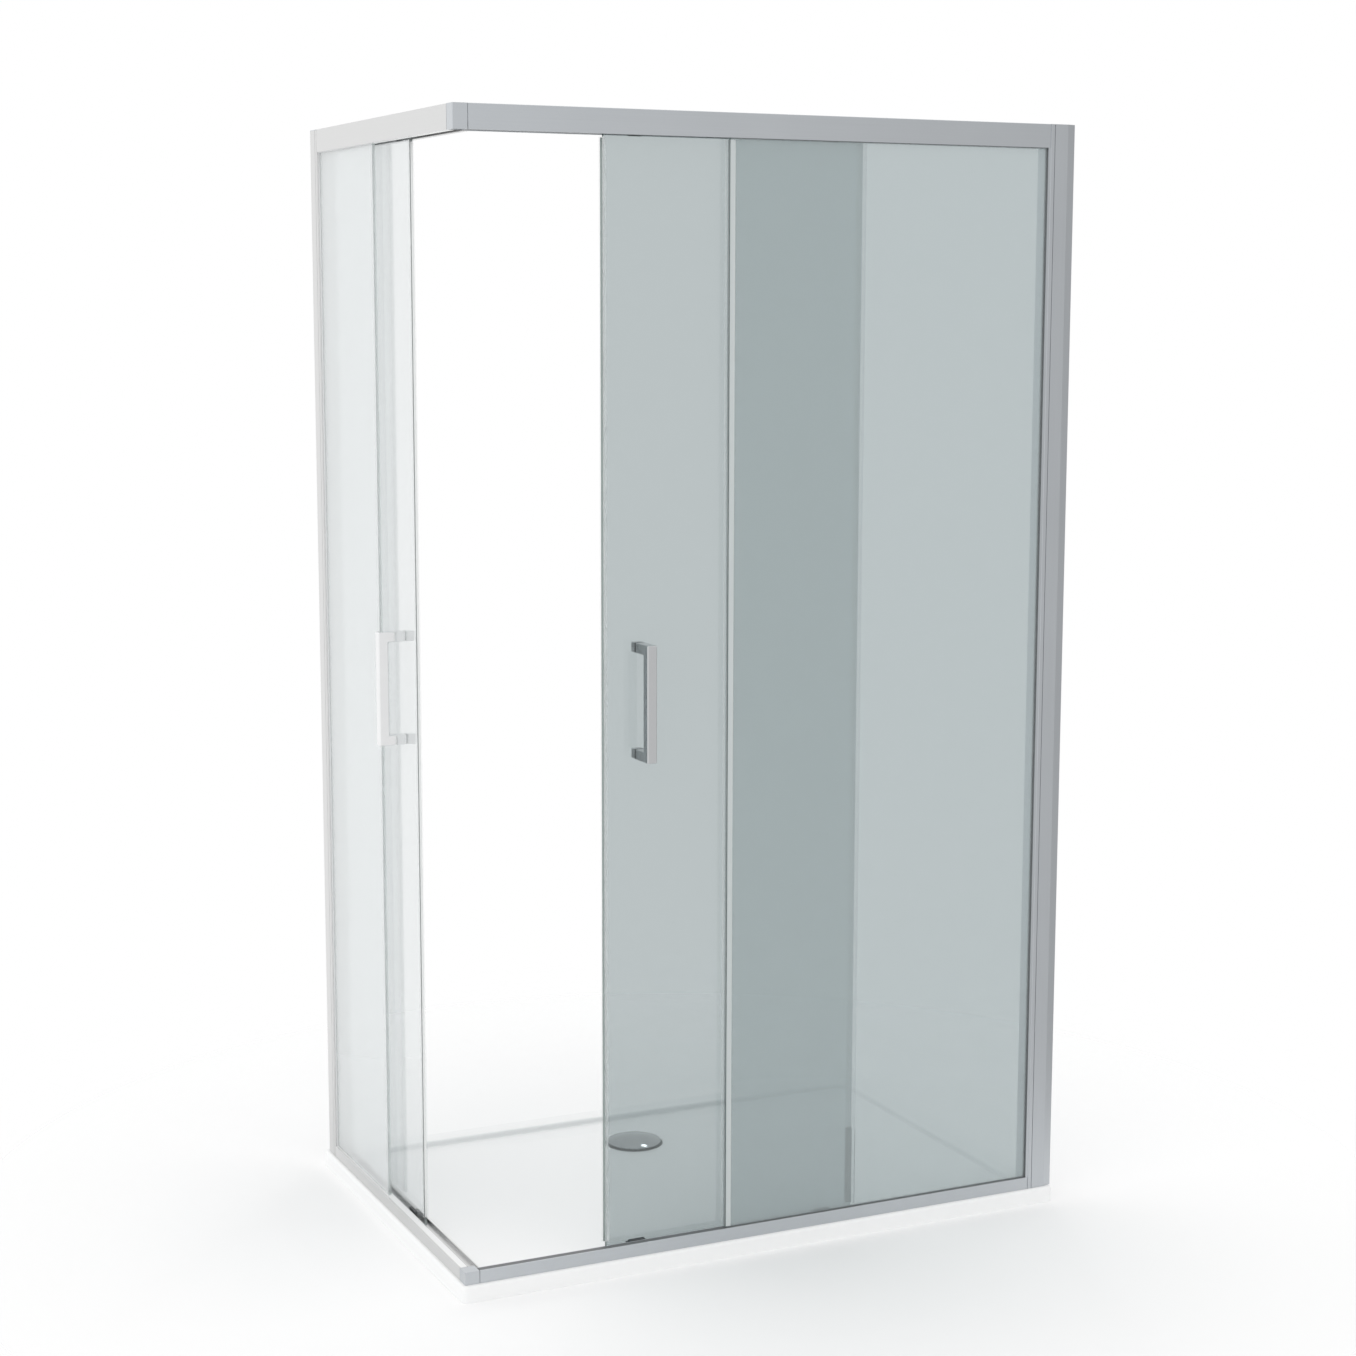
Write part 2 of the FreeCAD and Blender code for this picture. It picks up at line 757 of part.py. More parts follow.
def roller(s):
    """Grooved roller with a flange on each side of the tread."""
    bore = bolt_radius + running_clearance
    groove_from = roller_front + flange_width
    groove_to = roller_back - flange_width
    points = [(bore, roller_front), (flange_radius, roller_front), (flange_radius, groove_from),
              (tread_radius, groove_from), (tread_radius, groove_to), (flange_radius, groove_to),
              (flange_radius, roller_back), (bore, roller_back)]
    return turned_along_t(points, s, roller_axis_height)


def guide_shoes(screen):
    """Shoes that grip the bottom edge of the glass and reach over the guide channel."""
    leg_top = shoe_low + shoe_leg_height
    outer = door_front - shoe_wall
    inner = door_back + shoe_wall
    reach = door_back + shoe_arm_length
    points = [(outer, shoe_low), (reach, shoe_low), (reach, shoe_arm_top, shoe_edge_radius),
              (inner, shoe_arm_top), (inner, leg_top, shoe_edge_radius), (door_back, leg_top),
              (door_back, door_glass_low), (door_front, door_glass_low), (door_front, leg_top),
              (outer, leg_top, shoe_edge_radius)]
    shoes = []
    for s in guide_places(screen):
        shoe = extrude(points, in_section(s - shoe_width / 2), X_AXIS * shoe_width)
        hole = rod_along_z(guide_pin_radius + press_clearance, shoe_low - cut_overrun,
                           shoe_arm_top + cut_overrun, s, track_centre)
        shoes.append(shoe.cut(hole))
    return Part.makeCompound(shoes)


def guide_pins(screen):
    """Rivets with a sunk head under the wheel and a flat head on the shoe."""
    head_top = guide_wheel_low + guide_pin_head_height
    top = shoe_arm_top + guide_pin_head_height
    points = [(0, guide_wheel_low), (guide_pin_head_radius, guide_wheel_low),
              (guide_pin_head_radius, head_top), (guide_pin_radius, head_top),
              (guide_pin_radius, shoe_arm_top), (guide_pin_head_radius, shoe_arm_top),
              (guide_pin_head_radius, top), (0, top)]
    return Part.makeCompound([turned_along_z(points, s, track_centre) for s in guide_places(screen)])


def guide_wheel(s):
    """Flat wheel with a counterbore for the rivet's head."""
    bore = guide_pin_radius + running_clearance
    sink = guide_pin_head_radius + guide_head_clearance
    sink_top = guide_wheel_low + guide_pin_head_height + guide_head_clearance
    shoulder = guide_wheel_radius - guide_wheel_chamfer
    points = [(sink, guide_wheel_low), (shoulder, guide_wheel_low),
              (guide_wheel_radius, guide_wheel_low + guide_wheel_chamfer),
              (guide_wheel_radius, guide_wheel_high - guide_wheel_chamfer), (shoulder, guide_wheel_high),
              (bore, guide_wheel_high), (bore, sink_top), (sink, sink_top)]
    return turned_along_z(points, s, track_centre)


# Tray and drain
def basin_corners(inset):
    """Low and high (s, t) corners of the basin, drawn in by inset."""
    low = basin_front_rim + inset
    return (low, low), (frame_width - basin_wall_rim - inset, frame_depth - basin_wall_rim - inset)


def basin_edges(slab, level):
    """Edges of the tray that lie at one level, not outside the basin's own corners."""
    low, high = basin_corners(-press_clearance)
    boxes = [(edge, edge.BoundBox) for edge in slab.Edges]
    flat = [(edge, box) for edge, box in boxes
            if max(abs(box.ZMin - level), abs(box.ZMax - level)) < press_clearance]
    return [edge for edge, box in flat
            if box.XMin > low[0] and box.YMin > low[1] and box.XMax < high[0] and box.YMax < high[1]]


def basin_fall_cutter():
    """Four shallow planes that fall from the edge of the basin's floor to the drain."""
    low, high = basin_corners(basin_flat_edge)
    dish_low = (drain_from_left - drain_dish_half, drain_from_front - drain_dish_half)
    dish_high = (drain_from_left + drain_dish_half, drain_from_front + drain_dish_half)
    levels = [(low, high, -basin_depth), (dish_low, dish_high, basin_floor)]
    rings = [[Vector(a[0], a[1], z), Vector(b[0], a[1], z), Vector(b[0], b[1], z), Vector(a[0], b[1], z)]
             for a, b, z in levels]
    loops = list(rings)
    for n in range(len(rings[0])):
        loops.append([rings[0][n - 1], rings[0][n], rings[1][n], rings[1][n - 1]])
    faces = [Part.Face(Part.makePolygon(loop + loop[:1])) for loop in loops]
    return Part.Solid(Part.Shell(faces))


def tray():
    plan = rectangle((-tray_overhang, -tray_overhang), (frame_width, frame_depth), tray_corner_radius)
    slab = extrude(plan, in_plan(-tray_height), Z_AXIS * tray_height)
    top_edges = [edge for edge in slab.Edges if edge.BoundBox.ZMin > -press_clearance]
    slab = slab.makeFillet(tray_edge_radius, top_edges)
    low, high = basin_corners(0)
    pocket = extrude(rectangle(low, high, basin_corner_radius), in_plan(-basin_depth),
                     Z_AXIS * (basin_depth + cut_overrun))
    slab = slab.cut(pocket)
    slab = slab.makeFillet(basin_foot_radius, basin_edges(slab, -basin_depth))
    slab = slab.makeFillet(basin_edge_radius, basin_edges(slab, 0))
    recess = rod_along_z(drain_recess_radius, recess_floor, 0, drain_from_left, drain_from_front)
    bore = rod_along_z(drain_bore_radius, -tray_height - cut_overrun, 0, drain_from_left, drain_from_front)
    return slab.cut([basin_fall_cutter(), recess, bore])


def drain_flange():
    low = recess_floor
    top = low + flange_ring_thickness
    outer = drain_recess_radius - slip_clearance
    ring = rod_along_z(outer, low, top, drain_from_left, drain_from_front)
    ring = ring.cut(rod_along_z(flange_ring_inner, low - cut_overrun, top + cut_overrun, drain_from_left,
                                drain_from_front))
    pieces = [ring, rod_along_z(boss_radius, low, top, drain_from_left, drain_from_front)]
    centre = Vector(drain_from_left, drain_from_front, low)
    reach = (flange_ring_inner + outer) / 2
    for n in range(spoke_count):
        spoke = Part.makeBox(reach, spoke_width, flange_ring_thickness, centre - Y_AXIS * (spoke_width / 2))
        spoke.rotate(centre, Z_AXIS, FULL_TURN * n / spoke_count)
        pieces.append(spoke)
    hole = rod_along_z(stem_radius + running_clearance, low - cut_overrun, top + cut_overrun, drain_from_left,
                       drain_from_front)
    return fuse(pieces).cut(hole)


def dome_arc(radius, rise, base):
    """Arc of a spherical cap from its rim to its crown, in the (radius, z) plane of the drain."""
    sphere = (radius ** 2 + rise ** 2) / (2 * rise)
    half = math.asin(radius / sphere) / 2
    middle_radius = sphere * math.sin(half)
    middle_height = base + rise - sphere * (1 - math.cos(half))
    spots = [(radius, base), (middle_radius, middle_height), (0, base + rise)]
    return Part.Arc(*[Vector(drain_from_left + r, drain_from_front, z) for r, z in spots])


def drain_cover():
    """Domed lid on three feet, with a stem that drops into the flange's boss."""
    seat = recess_floor + flange_ring_thickness + cover_seat_gap
    edge = seat + cover_edge_height
    inner_radius = cover_radius - cover_wall
    outer_arc = dome_arc(cover_radius, cover_rise, edge + cover_rim)
    inner_arc = dome_arc(inner_radius, cover_rise - cover_wall, edge + cover_rim)
    rim_points = [outer_arc.StartPoint, outer_arc.StartPoint - Z_AXIS * cover_rim,
                  inner_arc.StartPoint - Z_AXIS * cover_rim, inner_arc.StartPoint]
    edges = [Part.LineSegment(a, b).toShape() for a, b in zip(rim_points, rim_points[1:])]
    edges += [inner_arc.toShape(), Part.LineSegment(inner_arc.EndPoint, outer_arc.EndPoint).toShape(),
              outer_arc.toShape()]
    profile = Part.Face(Part.Wire(Part.__sortEdges__(edges)))
    dome = profile.revolve(Vector(drain_from_left, drain_from_front, 0), Z_AXIS, FULL_TURN)
    crown = edge + cover_rim + cover_rise - cover_wall / 2
    pieces = [dome, rod_along_z(stem_radius, recess_floor + cover_seat_gap, crown, drain_from_left,
                                drain_from_front)]
    foot_reach = cover_radius - cover_foot_inset
    for n in range(spoke_count):
        angle = math.pi * (2 * n + 1) / spoke_count
        pieces.append(rod_along_z(cover_foot_radius, seat, edge + cover_rim + cover_wall,
                                  drain_from_left + foot_reach * math.cos(angle),
                                  drain_from_front + foot_reach * math.sin(angle)))
    return fuse(pieces)


# Placing and writing
def placed(screen, shape):
    """Turns a front-screen shape into the screen's own, still about the frame's corner."""
    return shape.mirror(Vector(0, 0, 0), DIAGONAL_NORMAL) if screen.mirrored else shape


def screen_pieces(screen):
    lead_place, trail_place = hanger_places(screen)
    lead_guide, trail_guide = guide_places(screen)
    return {
        "wall_channel": wall_channel(screen),
        "jamb_profile": jamb_profile(screen),
        "top_rail": top_rail(screen),
        "bottom_rail": bottom_rail(screen),
        "fixed_glass": fixed_glass_box(screen),
        "glazing_gasket": glazing_gasket(screen),
        "groove_fillers": groove_fillers(screen),
        "edge_strip": edge_strip(screen),
        "door_stop": door_stop(screen),
        "door_glass": door_glass(screen),
        "lead_seal": lead_seal(),
        "lead_magnet": lead_magnet(),
        "trail_seal": trail_seal(screen),
        "handle": handle(),
        "handle_caps": handle_caps(),
        "handle_washers": handle_washers(),
        "handle_screws": handle_screws(),
        "roller_hangers": roller_hangers(screen),
        "roller_bolts": roller_bolts(screen),
        "lead_roller": roller(lead_place),
        "trail_roller": roller(trail_place),
        "guide_shoes": guide_shoes(screen),
        "guide_pins": guide_pins(screen),
        "lead_guide_wheel": guide_wheel(lead_guide),
        "trail_guide_wheel": guide_wheel(trail_guide),
    }


def cabin_pieces():
    pieces = {
        "tray": tray(),
        "drain_flange": drain_flange(),
        "drain_cover": drain_cover(),
        "top_corner_block": top_corner_block(),
        "bottom_corner_block": bottom_corner_block(),
        "corner_screws": corner_screws(),
        "jamb_screws": jamb_screws(),
        "wall_channel_caps": wall_channel_caps(),
    }
    for screen in (FRONT, SIDE):
        for name, shape in screen_pieces(screen).items():
            pieces[screen.name + "_" + name] = placed(screen, shape)
    return pieces


def main():
    os.makedirs("parts", exist_ok=True)
    # The model's origin is the middle of the tray's underside.
    to_origin = Vector((tray_overhang - frame_width) / 2, (tray_overhang - frame_depth) / 2, tray_height)
    for name, shape in cabin_pieces().items():
        shape.translate(to_origin)
        shape.exportStep(os.path.join("parts", name + ".step"))
        print(name, "solids", len(shape.Solids), "valid", shape.isValid(), "volume", round(shape.Volume))


main()
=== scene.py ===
import math

import bmesh
import bpy
from bpy.props import FloatProperty, FloatVectorProperty, PointerProperty
from mathutils import Matrix, Vector


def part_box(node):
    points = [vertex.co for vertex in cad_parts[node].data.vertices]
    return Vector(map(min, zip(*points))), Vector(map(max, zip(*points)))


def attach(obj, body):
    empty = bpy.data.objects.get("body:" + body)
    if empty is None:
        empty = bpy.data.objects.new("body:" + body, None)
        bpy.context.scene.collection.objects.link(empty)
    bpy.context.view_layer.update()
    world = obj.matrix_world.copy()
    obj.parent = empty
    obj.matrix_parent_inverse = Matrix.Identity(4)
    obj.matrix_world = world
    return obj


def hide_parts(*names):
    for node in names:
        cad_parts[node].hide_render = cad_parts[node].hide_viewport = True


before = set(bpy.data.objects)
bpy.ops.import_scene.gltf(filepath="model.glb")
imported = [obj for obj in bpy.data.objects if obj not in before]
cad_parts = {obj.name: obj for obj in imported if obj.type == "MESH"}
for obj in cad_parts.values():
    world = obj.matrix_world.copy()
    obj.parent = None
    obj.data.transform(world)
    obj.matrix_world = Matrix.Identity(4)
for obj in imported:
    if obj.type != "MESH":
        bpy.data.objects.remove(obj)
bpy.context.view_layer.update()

bl_info = {
    "name": "Corner-entry shower cabin",
    "version": (1, 0, 0),
    "blender": (4, 5, 0),
    "location": "3D View > Sidebar > Cabin",
    "description": "Finishes, screws and stage of a framed shower cabin with two sliding doors",
    "category": "Object",
}

X, Y, Z = 0, 1, 2
SCREENS = ("front", "side")
# The axis that each screen runs along and the axis that its glass faces
ALONG = {"front": X, "side": Y}
THROUGH = {"front": Y, "side": X}
WELD_DISTANCE = 1e-6
HEAD_SIDES = 32
SHANK_SIDES = 20
SENSOR_WIDTH = 36.0
FLOOR_ROUGHNESS = 0.9

# Darkest and lightest shade in each finish, as shares of its colour
METAL_TONES = (0.93, 1.06)
CHROME_TONES = (0.97, 1.02)
RUBBER_TONES = (0.85, 1.2)
CLEAR_TONES = (0.95, 1.03)
PLASTIC_TONES = (0.94, 1.05)
STEEL_TONES = (0.85, 1.1)
COAT_TONES = (0.985, 1.01)
# Share of the drawing lines in the shades of the metal, the rest being soft clouds
LINE_SHARE = 0.7
# Density of the tray's broad patches, as a share of the density of its duller ones
BROAD_SHARE = 0.2

# Lowest and highest roughness, where a user doesn't set the mean
RUBBER_ROUGHNESS = (0.38, 0.58)
CLEAR_ROUGHNESS = (0.18, 0.30)
STEEL_ROUGHNESS = (0.28, 0.48)
# How far a pattern makes the roughness rise and fall about its mean
LINE_SWING = 0.10
CLOUD_SWING = 0.06
MARK_SWING = 0.05
MOULD_SWING = 0.12
SKIN_SWING = 0.04
# Strength of the relief of each pattern
LINE_RELIEF = 0.12
WAVE_RELIEF = 0.05
GRAIN_RELIEF = 0.2
MOULD_RELIEF = 0.15

GLASS_IOR = 1.5
CLEAR_IOR = 1.45
# A face looks along an axis if its normal has more than this on that axis
FACE_LIMIT = 0.5

# Components of a unit direction between which one side of the studio turns into the next
SKYLINE_RISE = (0.0, 0.12)
LEFT_TURN = (-0.25, 0.1)
BACK_TURN = (0.15, 0.6)
TOP_RISE = (0.35, 0.9)
# Rays that meet a plain backdrop. Metal mirrors the studio itself, whose sides differ.
BACKDROP_RAYS = ("Is Camera Ray", "Is Transmission Ray")


# Shader building
class Flow:
    """A socket in a node tree. Arithmetic on it adds the Math nodes that do the sum."""

    def __init__(self, paint, socket):
        self.paint = paint
        self.socket = socket

    def maths(self, operation, *values):
        return self.paint.node("ShaderNodeMath", {"operation": operation}, dict(enumerate(values)))

    def __add__(self, other):
        return self.maths("ADD", self, other)

    def __sub__(self, other):
        return self.maths("SUBTRACT", self, other)

    def __rsub__(self, other):
        return self.maths("SUBTRACT", other, self)

    def __mul__(self, other):
        return self.maths("MULTIPLY", self, other)

    def __lt__(self, other):
        return self.maths("LESS_THAN", self, other)

    def __abs__(self):
        return self.maths("ABSOLUTE", self)

    __radd__ = __add__
    __rmul__ = __mul__

    def within(self, low, high):
        """This value kept between two limits."""
        return self.maths("MINIMUM", self.maths("MAXIMUM", self, low), high)

    def ramp(self, start, end):
        """A smooth step from 0 at start to 1 at end."""
        settings = {"interpolation_type": "SMOOTHSTEP"}
        return self.paint.node("ShaderNodeMapRange", settings, {0: self, 1: start, 2: end})

    def spread(self, low, high):
        """A pattern from 0 to 1, stretched between two limits."""
        return low + self * (high - low)

    def swing(self, width):
        """A pattern from 0 to 1, as a rise and fall about 0."""
        return (self - 0.5) * width


class Paint:
    """Adds nodes to one tree, with the values or links of their sockets."""

    def __init__(self, tree):
        self.tree = tree
        tree.nodes.clear()

    def node(self, kind, settings=None, inputs=None, output=0):
        item = self.tree.nodes.new(kind)
        for key, value in (settings or {}).items():
            setattr(item, key, value)
        for key, value in (inputs or {}).items():
            if isinstance(value, Flow):
                self.tree.links.new(value.socket, item.inputs[key])
            else:
                item.inputs[key].default_value = value
        return Flow(self, item.outputs[output])

    def place(self, scale=(1, 1, 1)):
        """The point on the piece, in metres, with each axis scaled."""
        point = self.node("ShaderNodeTexCoord", output="Object")
        return self.node("ShaderNodeMapping", {}, {"Vector": point, "Scale": scale})

    def part(self, vector, axis):
        """One of the three numbers of a vector."""
        return self.node("ShaderNodeSeparateXYZ", {}, {0: vector}, axis)

    def facing(self, axis):
        """How far the surface faces along one axis, from -1 to 1."""
        return self.part(self.node("ShaderNodeTexCoord", output="Normal"), axis)

    def noise(self, place, detail=2.0):
        return self.node("ShaderNodeTexNoise", {}, {"Vector": place, "Scale": 1.0, "Detail": detail})

    def specks(self, density, detail=2.0):
        """Noise of the same density along all axes, in specks per metre."""
        return self.noise(self.place([density] * 3), detail)

    def blend(self, factor, first, second):
        """A colour between two colours."""
        settings = {"data_type": "RGBA", "clamp_factor": True}
        return self.node("ShaderNodeMix", settings, {0: factor, 6: first, 7: second}, 2)

    def mottle(self, pattern, colour, tones):
        """A colour that a pattern makes darker and lighter."""
        darkest, lightest = tones
        return self.blend(pattern, shade(colour, darkest), shade(colour, lightest))

    def bump(self, height, strength, depth):
        inputs = {"Height": height, "Strength": strength, "Distance": depth}
        return self.node("ShaderNodeBump", {}, inputs)

    def principled(self, **sockets):
        """A Principled shader. Words in a socket's name are joined by underscores."""
        inputs = {key.replace("_", " "): value for key, value in sockets.items()}
        return self.node("ShaderNodeBsdfPrincipled", {}, inputs)

    def surface(self, shader):
        """Makes a shader the surface of the material."""
        self.end("ShaderNodeOutputMaterial", "Surface", shader)

    def end(self, kind, socket, flow):
        """Links a value to the tree's output node."""
        self.tree.links.new(flow.socket, self.tree.nodes.new(kind).inputs[socket])


def new_paint(name):
    material = bpy.data.materials.new(name)
    material.use_nodes = True
    return material, Paint(material.node_tree)


def solid_colour(colour):
    return (*colour, 1.0)


def shade(colour, factor):
    """A colour made lighter or darker, with its alpha kept at 1."""
    return solid_colour([min(1.0, channel * factor) for channel in colour])


# Finishes
def satin_aluminium(name, along, metal, finish):
    """Anodised extrusion with fine drawing lines along one axis."""
    material, paint = new_paint(name)
    across = [finish.line_density] * 3
    across[along] = finish.line_density * finish.line_stretch
    lines = paint.noise(paint.place(across), detail=3.0)
    clouds = paint.specks(finish.cloud_density)
    colour = paint.mottle(lines * LINE_SHARE + clouds * (1.0 - LINE_SHARE), metal, METAL_TONES)
    roughness = finish.metal_roughness + lines.swing(LINE_SWING) + clouds.swing(CLOUD_SWING)
    relief = paint.bump(lines, LINE_RELIEF, finish.line_depth)
    paint.surface(paint.principled(Base_Color=colour, Metallic=1.0, Roughness=roughness, Normal=relief))
    return material


def toughened_glass(name, through, tint, edge_colour, haze, finish):
    """Tinted pane with some haze, a ground edge and the slight wave of toughening."""
    material, paint = new_paint(name)
    edge = abs(paint.facing(through)) < FACE_LIMIT
    colour = paint.blend(edge, solid_colour(tint), solid_colour(edge_colour))
    roughness = edge * finish.edge_roughness
    wave = paint.specks(finish.wave_density, detail=0.0)
    relief = paint.bump(wave, WAVE_RELIEF, finish.wave_depth)
    pane = paint.principled(Base_Color=colour, Roughness=roughness, IOR=GLASS_IOR,
                            Transmission_Weight=1.0 - haze, Normal=relief)
    half_tint = solid_colour([math.sqrt(channel) for channel in tint])
    clear = paint.node("ShaderNodeBsdfTransparent", {}, {"Color": half_tint})
    for ray in ("Is Diffuse Ray", "Is Shadow Ray"):
        test = paint.node("ShaderNodeLightPath", output=ray)
        pane = paint.node("ShaderNodeMixShader", {}, {0: test, 1: pane, 2: clear})
    paint.surface(pane)
    return material


def polished_chrome(name, colour, finish):
    """Bright plating with faint wipe marks."""
    material, paint = new_paint(name)
    marks = paint.specks(finish.mark_density, detail=3.0)
    tone = paint.mottle(marks, colour, CHROME_TONES)
    roughness = finish.chrome_roughness + marks.swing(MARK_SWING)
    paint.surface(paint.principled(Base_Color=tone, Metallic=1.0, Roughness=roughness))
    return material


def soft_rubber(name, colour, finish):
    """Extruded rubber with a fine matt grain."""
    material, paint = new_paint(name)
    grain = paint.specks(finish.grain_density)
    tone = paint.mottle(grain, colour, RUBBER_TONES)
    roughness = grain.spread(*RUBBER_ROUGHNESS)
    relief = paint.bump(grain, GRAIN_RELIEF, finish.grain_depth)
    paint.surface(paint.principled(Base_Color=tone, Roughness=roughness, Normal=relief))
    return material


def clear_strip(name, colour, cover, finish, *patches):
    """Flexible see-through strip, a little cloudy. Cover is the share of it that can be seen.

    A patch is the axis against which its faces look, the limits by axis below which they lie,
    its colour and its cover.
    """
    material, paint = new_paint(name)
    clouds = paint.specks(finish.cloud_density)
    tone = paint.mottle(clouds, colour, CLEAR_TONES)
    roughness = clouds.spread(*CLEAR_ROUGHNESS)
    place = paint.place()
    for axis, limits, patch_colour, patch_cover in patches:
        inside = paint.facing(axis) < -FACE_LIMIT
        for limited, limit in limits.items():
            inside = inside * (paint.part(place, limited) < limit)
        tone = paint.blend(inside, tone, solid_colour(patch_colour))
        cover = cover + inside * (patch_cover - cover)
    paint.surface(paint.principled(Base_Color=tone, Roughness=roughness, IOR=CLEAR_IOR, Alpha=cover))
    return material


def moulded_plastic(name, colour, roughness, finish):
    """Injection-moulded plastic with a spark-eroded grain."""
    material, paint = new_paint(name)
    grain = paint.specks(finish.mould_grain, detail=4.0)
    tone = paint.mottle(grain, colour, PLASTIC_TONES)
    relief = paint.bump(grain, MOULD_RELIEF, finish.mould_depth)
    roughness = roughness + grain.swing(MOULD_SWING)
    paint.surface(paint.principled(Base_Color=tone, Roughness=roughness, Normal=relief))
    return material


def bright_steel(name, finish):
    """Zinc-plated steel with a patchy sheen."""
    material, paint = new_paint(name)
    patches = paint.specks(finish.plate_density, detail=4.0)
    tone = paint.mottle(patches, finish.steel_colour, STEEL_TONES)
    roughness = patches.spread(*STEEL_ROUGHNESS)
    paint.surface(paint.principled(Base_Color=tone, Metallic=1.0, Roughness=roughness))
    return material


def gel_coat(name, finish):
    """White moulded tray with a smooth skin that is a little uneven."""
    material, paint = new_paint(name)
    skin = paint.specks(finish.skin_density, detail=3.0)
    broad = paint.specks(finish.skin_density * BROAD_SHARE)
    tone = paint.mottle(broad, finish.tray_colour, COAT_TONES)
    roughness = finish.tray_roughness + skin.swing(SKIN_SWING)
    paint.surface(paint.principled(Base_Color=tone, Roughness=roughness, Coat_Weight=finish.coat_weight,
                                   Coat_Roughness=finish.coat_roughness))
    return material


def dress(material, *nodes):
    """Gives CAD nodes a finish."""
    for name in nodes:
        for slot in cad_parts[name].material_slots:
            slot.material = material


# Sizes and colours that a user may change
class FrameFinish(bpy.types.PropertyGroup):
    # Front and side metal are lit and shaded copies of one aluminium: the side colour is lighter by painted
    # light from the left
    front_metal: FloatVectorProperty(
        name="Front metal", description="Colour of the front extrusions",
        subtype="COLOR", min=0, max=1, default=(0.545, 0.57, 0.595))
    side_metal: FloatVectorProperty(
        name="Side metal", description="Colour of the side extrusions",
        subtype="COLOR", min=0, max=1, default=(0.65, 0.652, 0.65))
    metal_roughness: FloatProperty(
        name="Roughness", description="Mean roughness of the extrusions",
        subtype="FACTOR", min=0, max=1, default=0.32)
    line_density: FloatProperty(
        name="Line density", description="Drawing lines per metre across an extrusion", default=1800.0)
    line_stretch: FloatProperty(
        name="Line stretch", description="Line density along an extrusion, as a share of that across it",
        subtype="FACTOR", default=0.002)
    line_depth: FloatProperty(
        name="Line depth", description="Depth of the drawing lines",
        unit="LENGTH", precision=6, default=0.00002)
    cloud_density: FloatProperty(
        name="Cloud density", description="Soft patches per metre", default=9.0)


class GlassFinish(bpy.types.PropertyGroup):
    # The front tints are the glass's own tint darkened by painted shade, standing for shaded walls behind the
    # panes; the side tints are a lighter copy by painted light from the left
    front_fixed_tint: FloatVectorProperty(
        name="Front panel tint", description="Colour of the front fixed panel",
        subtype="COLOR", min=0, max=1, default=(0.545, 0.60, 0.608))
    front_door_tint: FloatVectorProperty(
        name="Front door tint", description="Colour of the front door",
        subtype="COLOR", min=0, max=1, default=(0.505, 0.555, 0.562))
    side_fixed_tint: FloatVectorProperty(
        name="Side panel tint", description="Colour of the side fixed panel",
        subtype="COLOR", min=0, max=1, default=(0.835, 0.855, 0.86))
    side_door_tint: FloatVectorProperty(
        name="Side door tint", description="Colour of the side door",
        subtype="COLOR", min=0, max=1, default=(0.80, 0.822, 0.827))
    front_edge: FloatVectorProperty(
        name="Front edge", description="Colour of the front panes' ground edges",
        subtype="COLOR", min=0, max=1, default=(0.10, 0.20, 0.18))
    # The pale side edge colour is a copy of the front edge colour, lightened by painted light from the left
    side_edge: FloatVectorProperty(
        name="Side edge", description="Colour of the side panes' ground edges",
        subtype="COLOR", min=0, max=1, default=(0.80, 0.88, 0.86))
    fixed_haze: FloatProperty(
        name="Panel haze", description="Share of the light that a fixed panel scatters",
        subtype="FACTOR", min=0, max=0.5, default=0.31)
    door_haze: FloatProperty(
        name="Door haze", description="Share of the light that a door scatters",
        subtype="FACTOR", min=0, max=0.5, default=0.10)
    edge_roughness: FloatProperty(
        name="Edge roughness", description="Roughness of the ground edges",
        subtype="FACTOR", min=0, max=1, default=0.3)
    wave_density: FloatProperty(
        name="Wave density", description="Toughening waves per metre", default=3.0)
    wave_depth: FloatProperty(
        name="Wave depth", description="Depth of the toughening waves",
        unit="LENGTH", precision=6, default=0.0001)


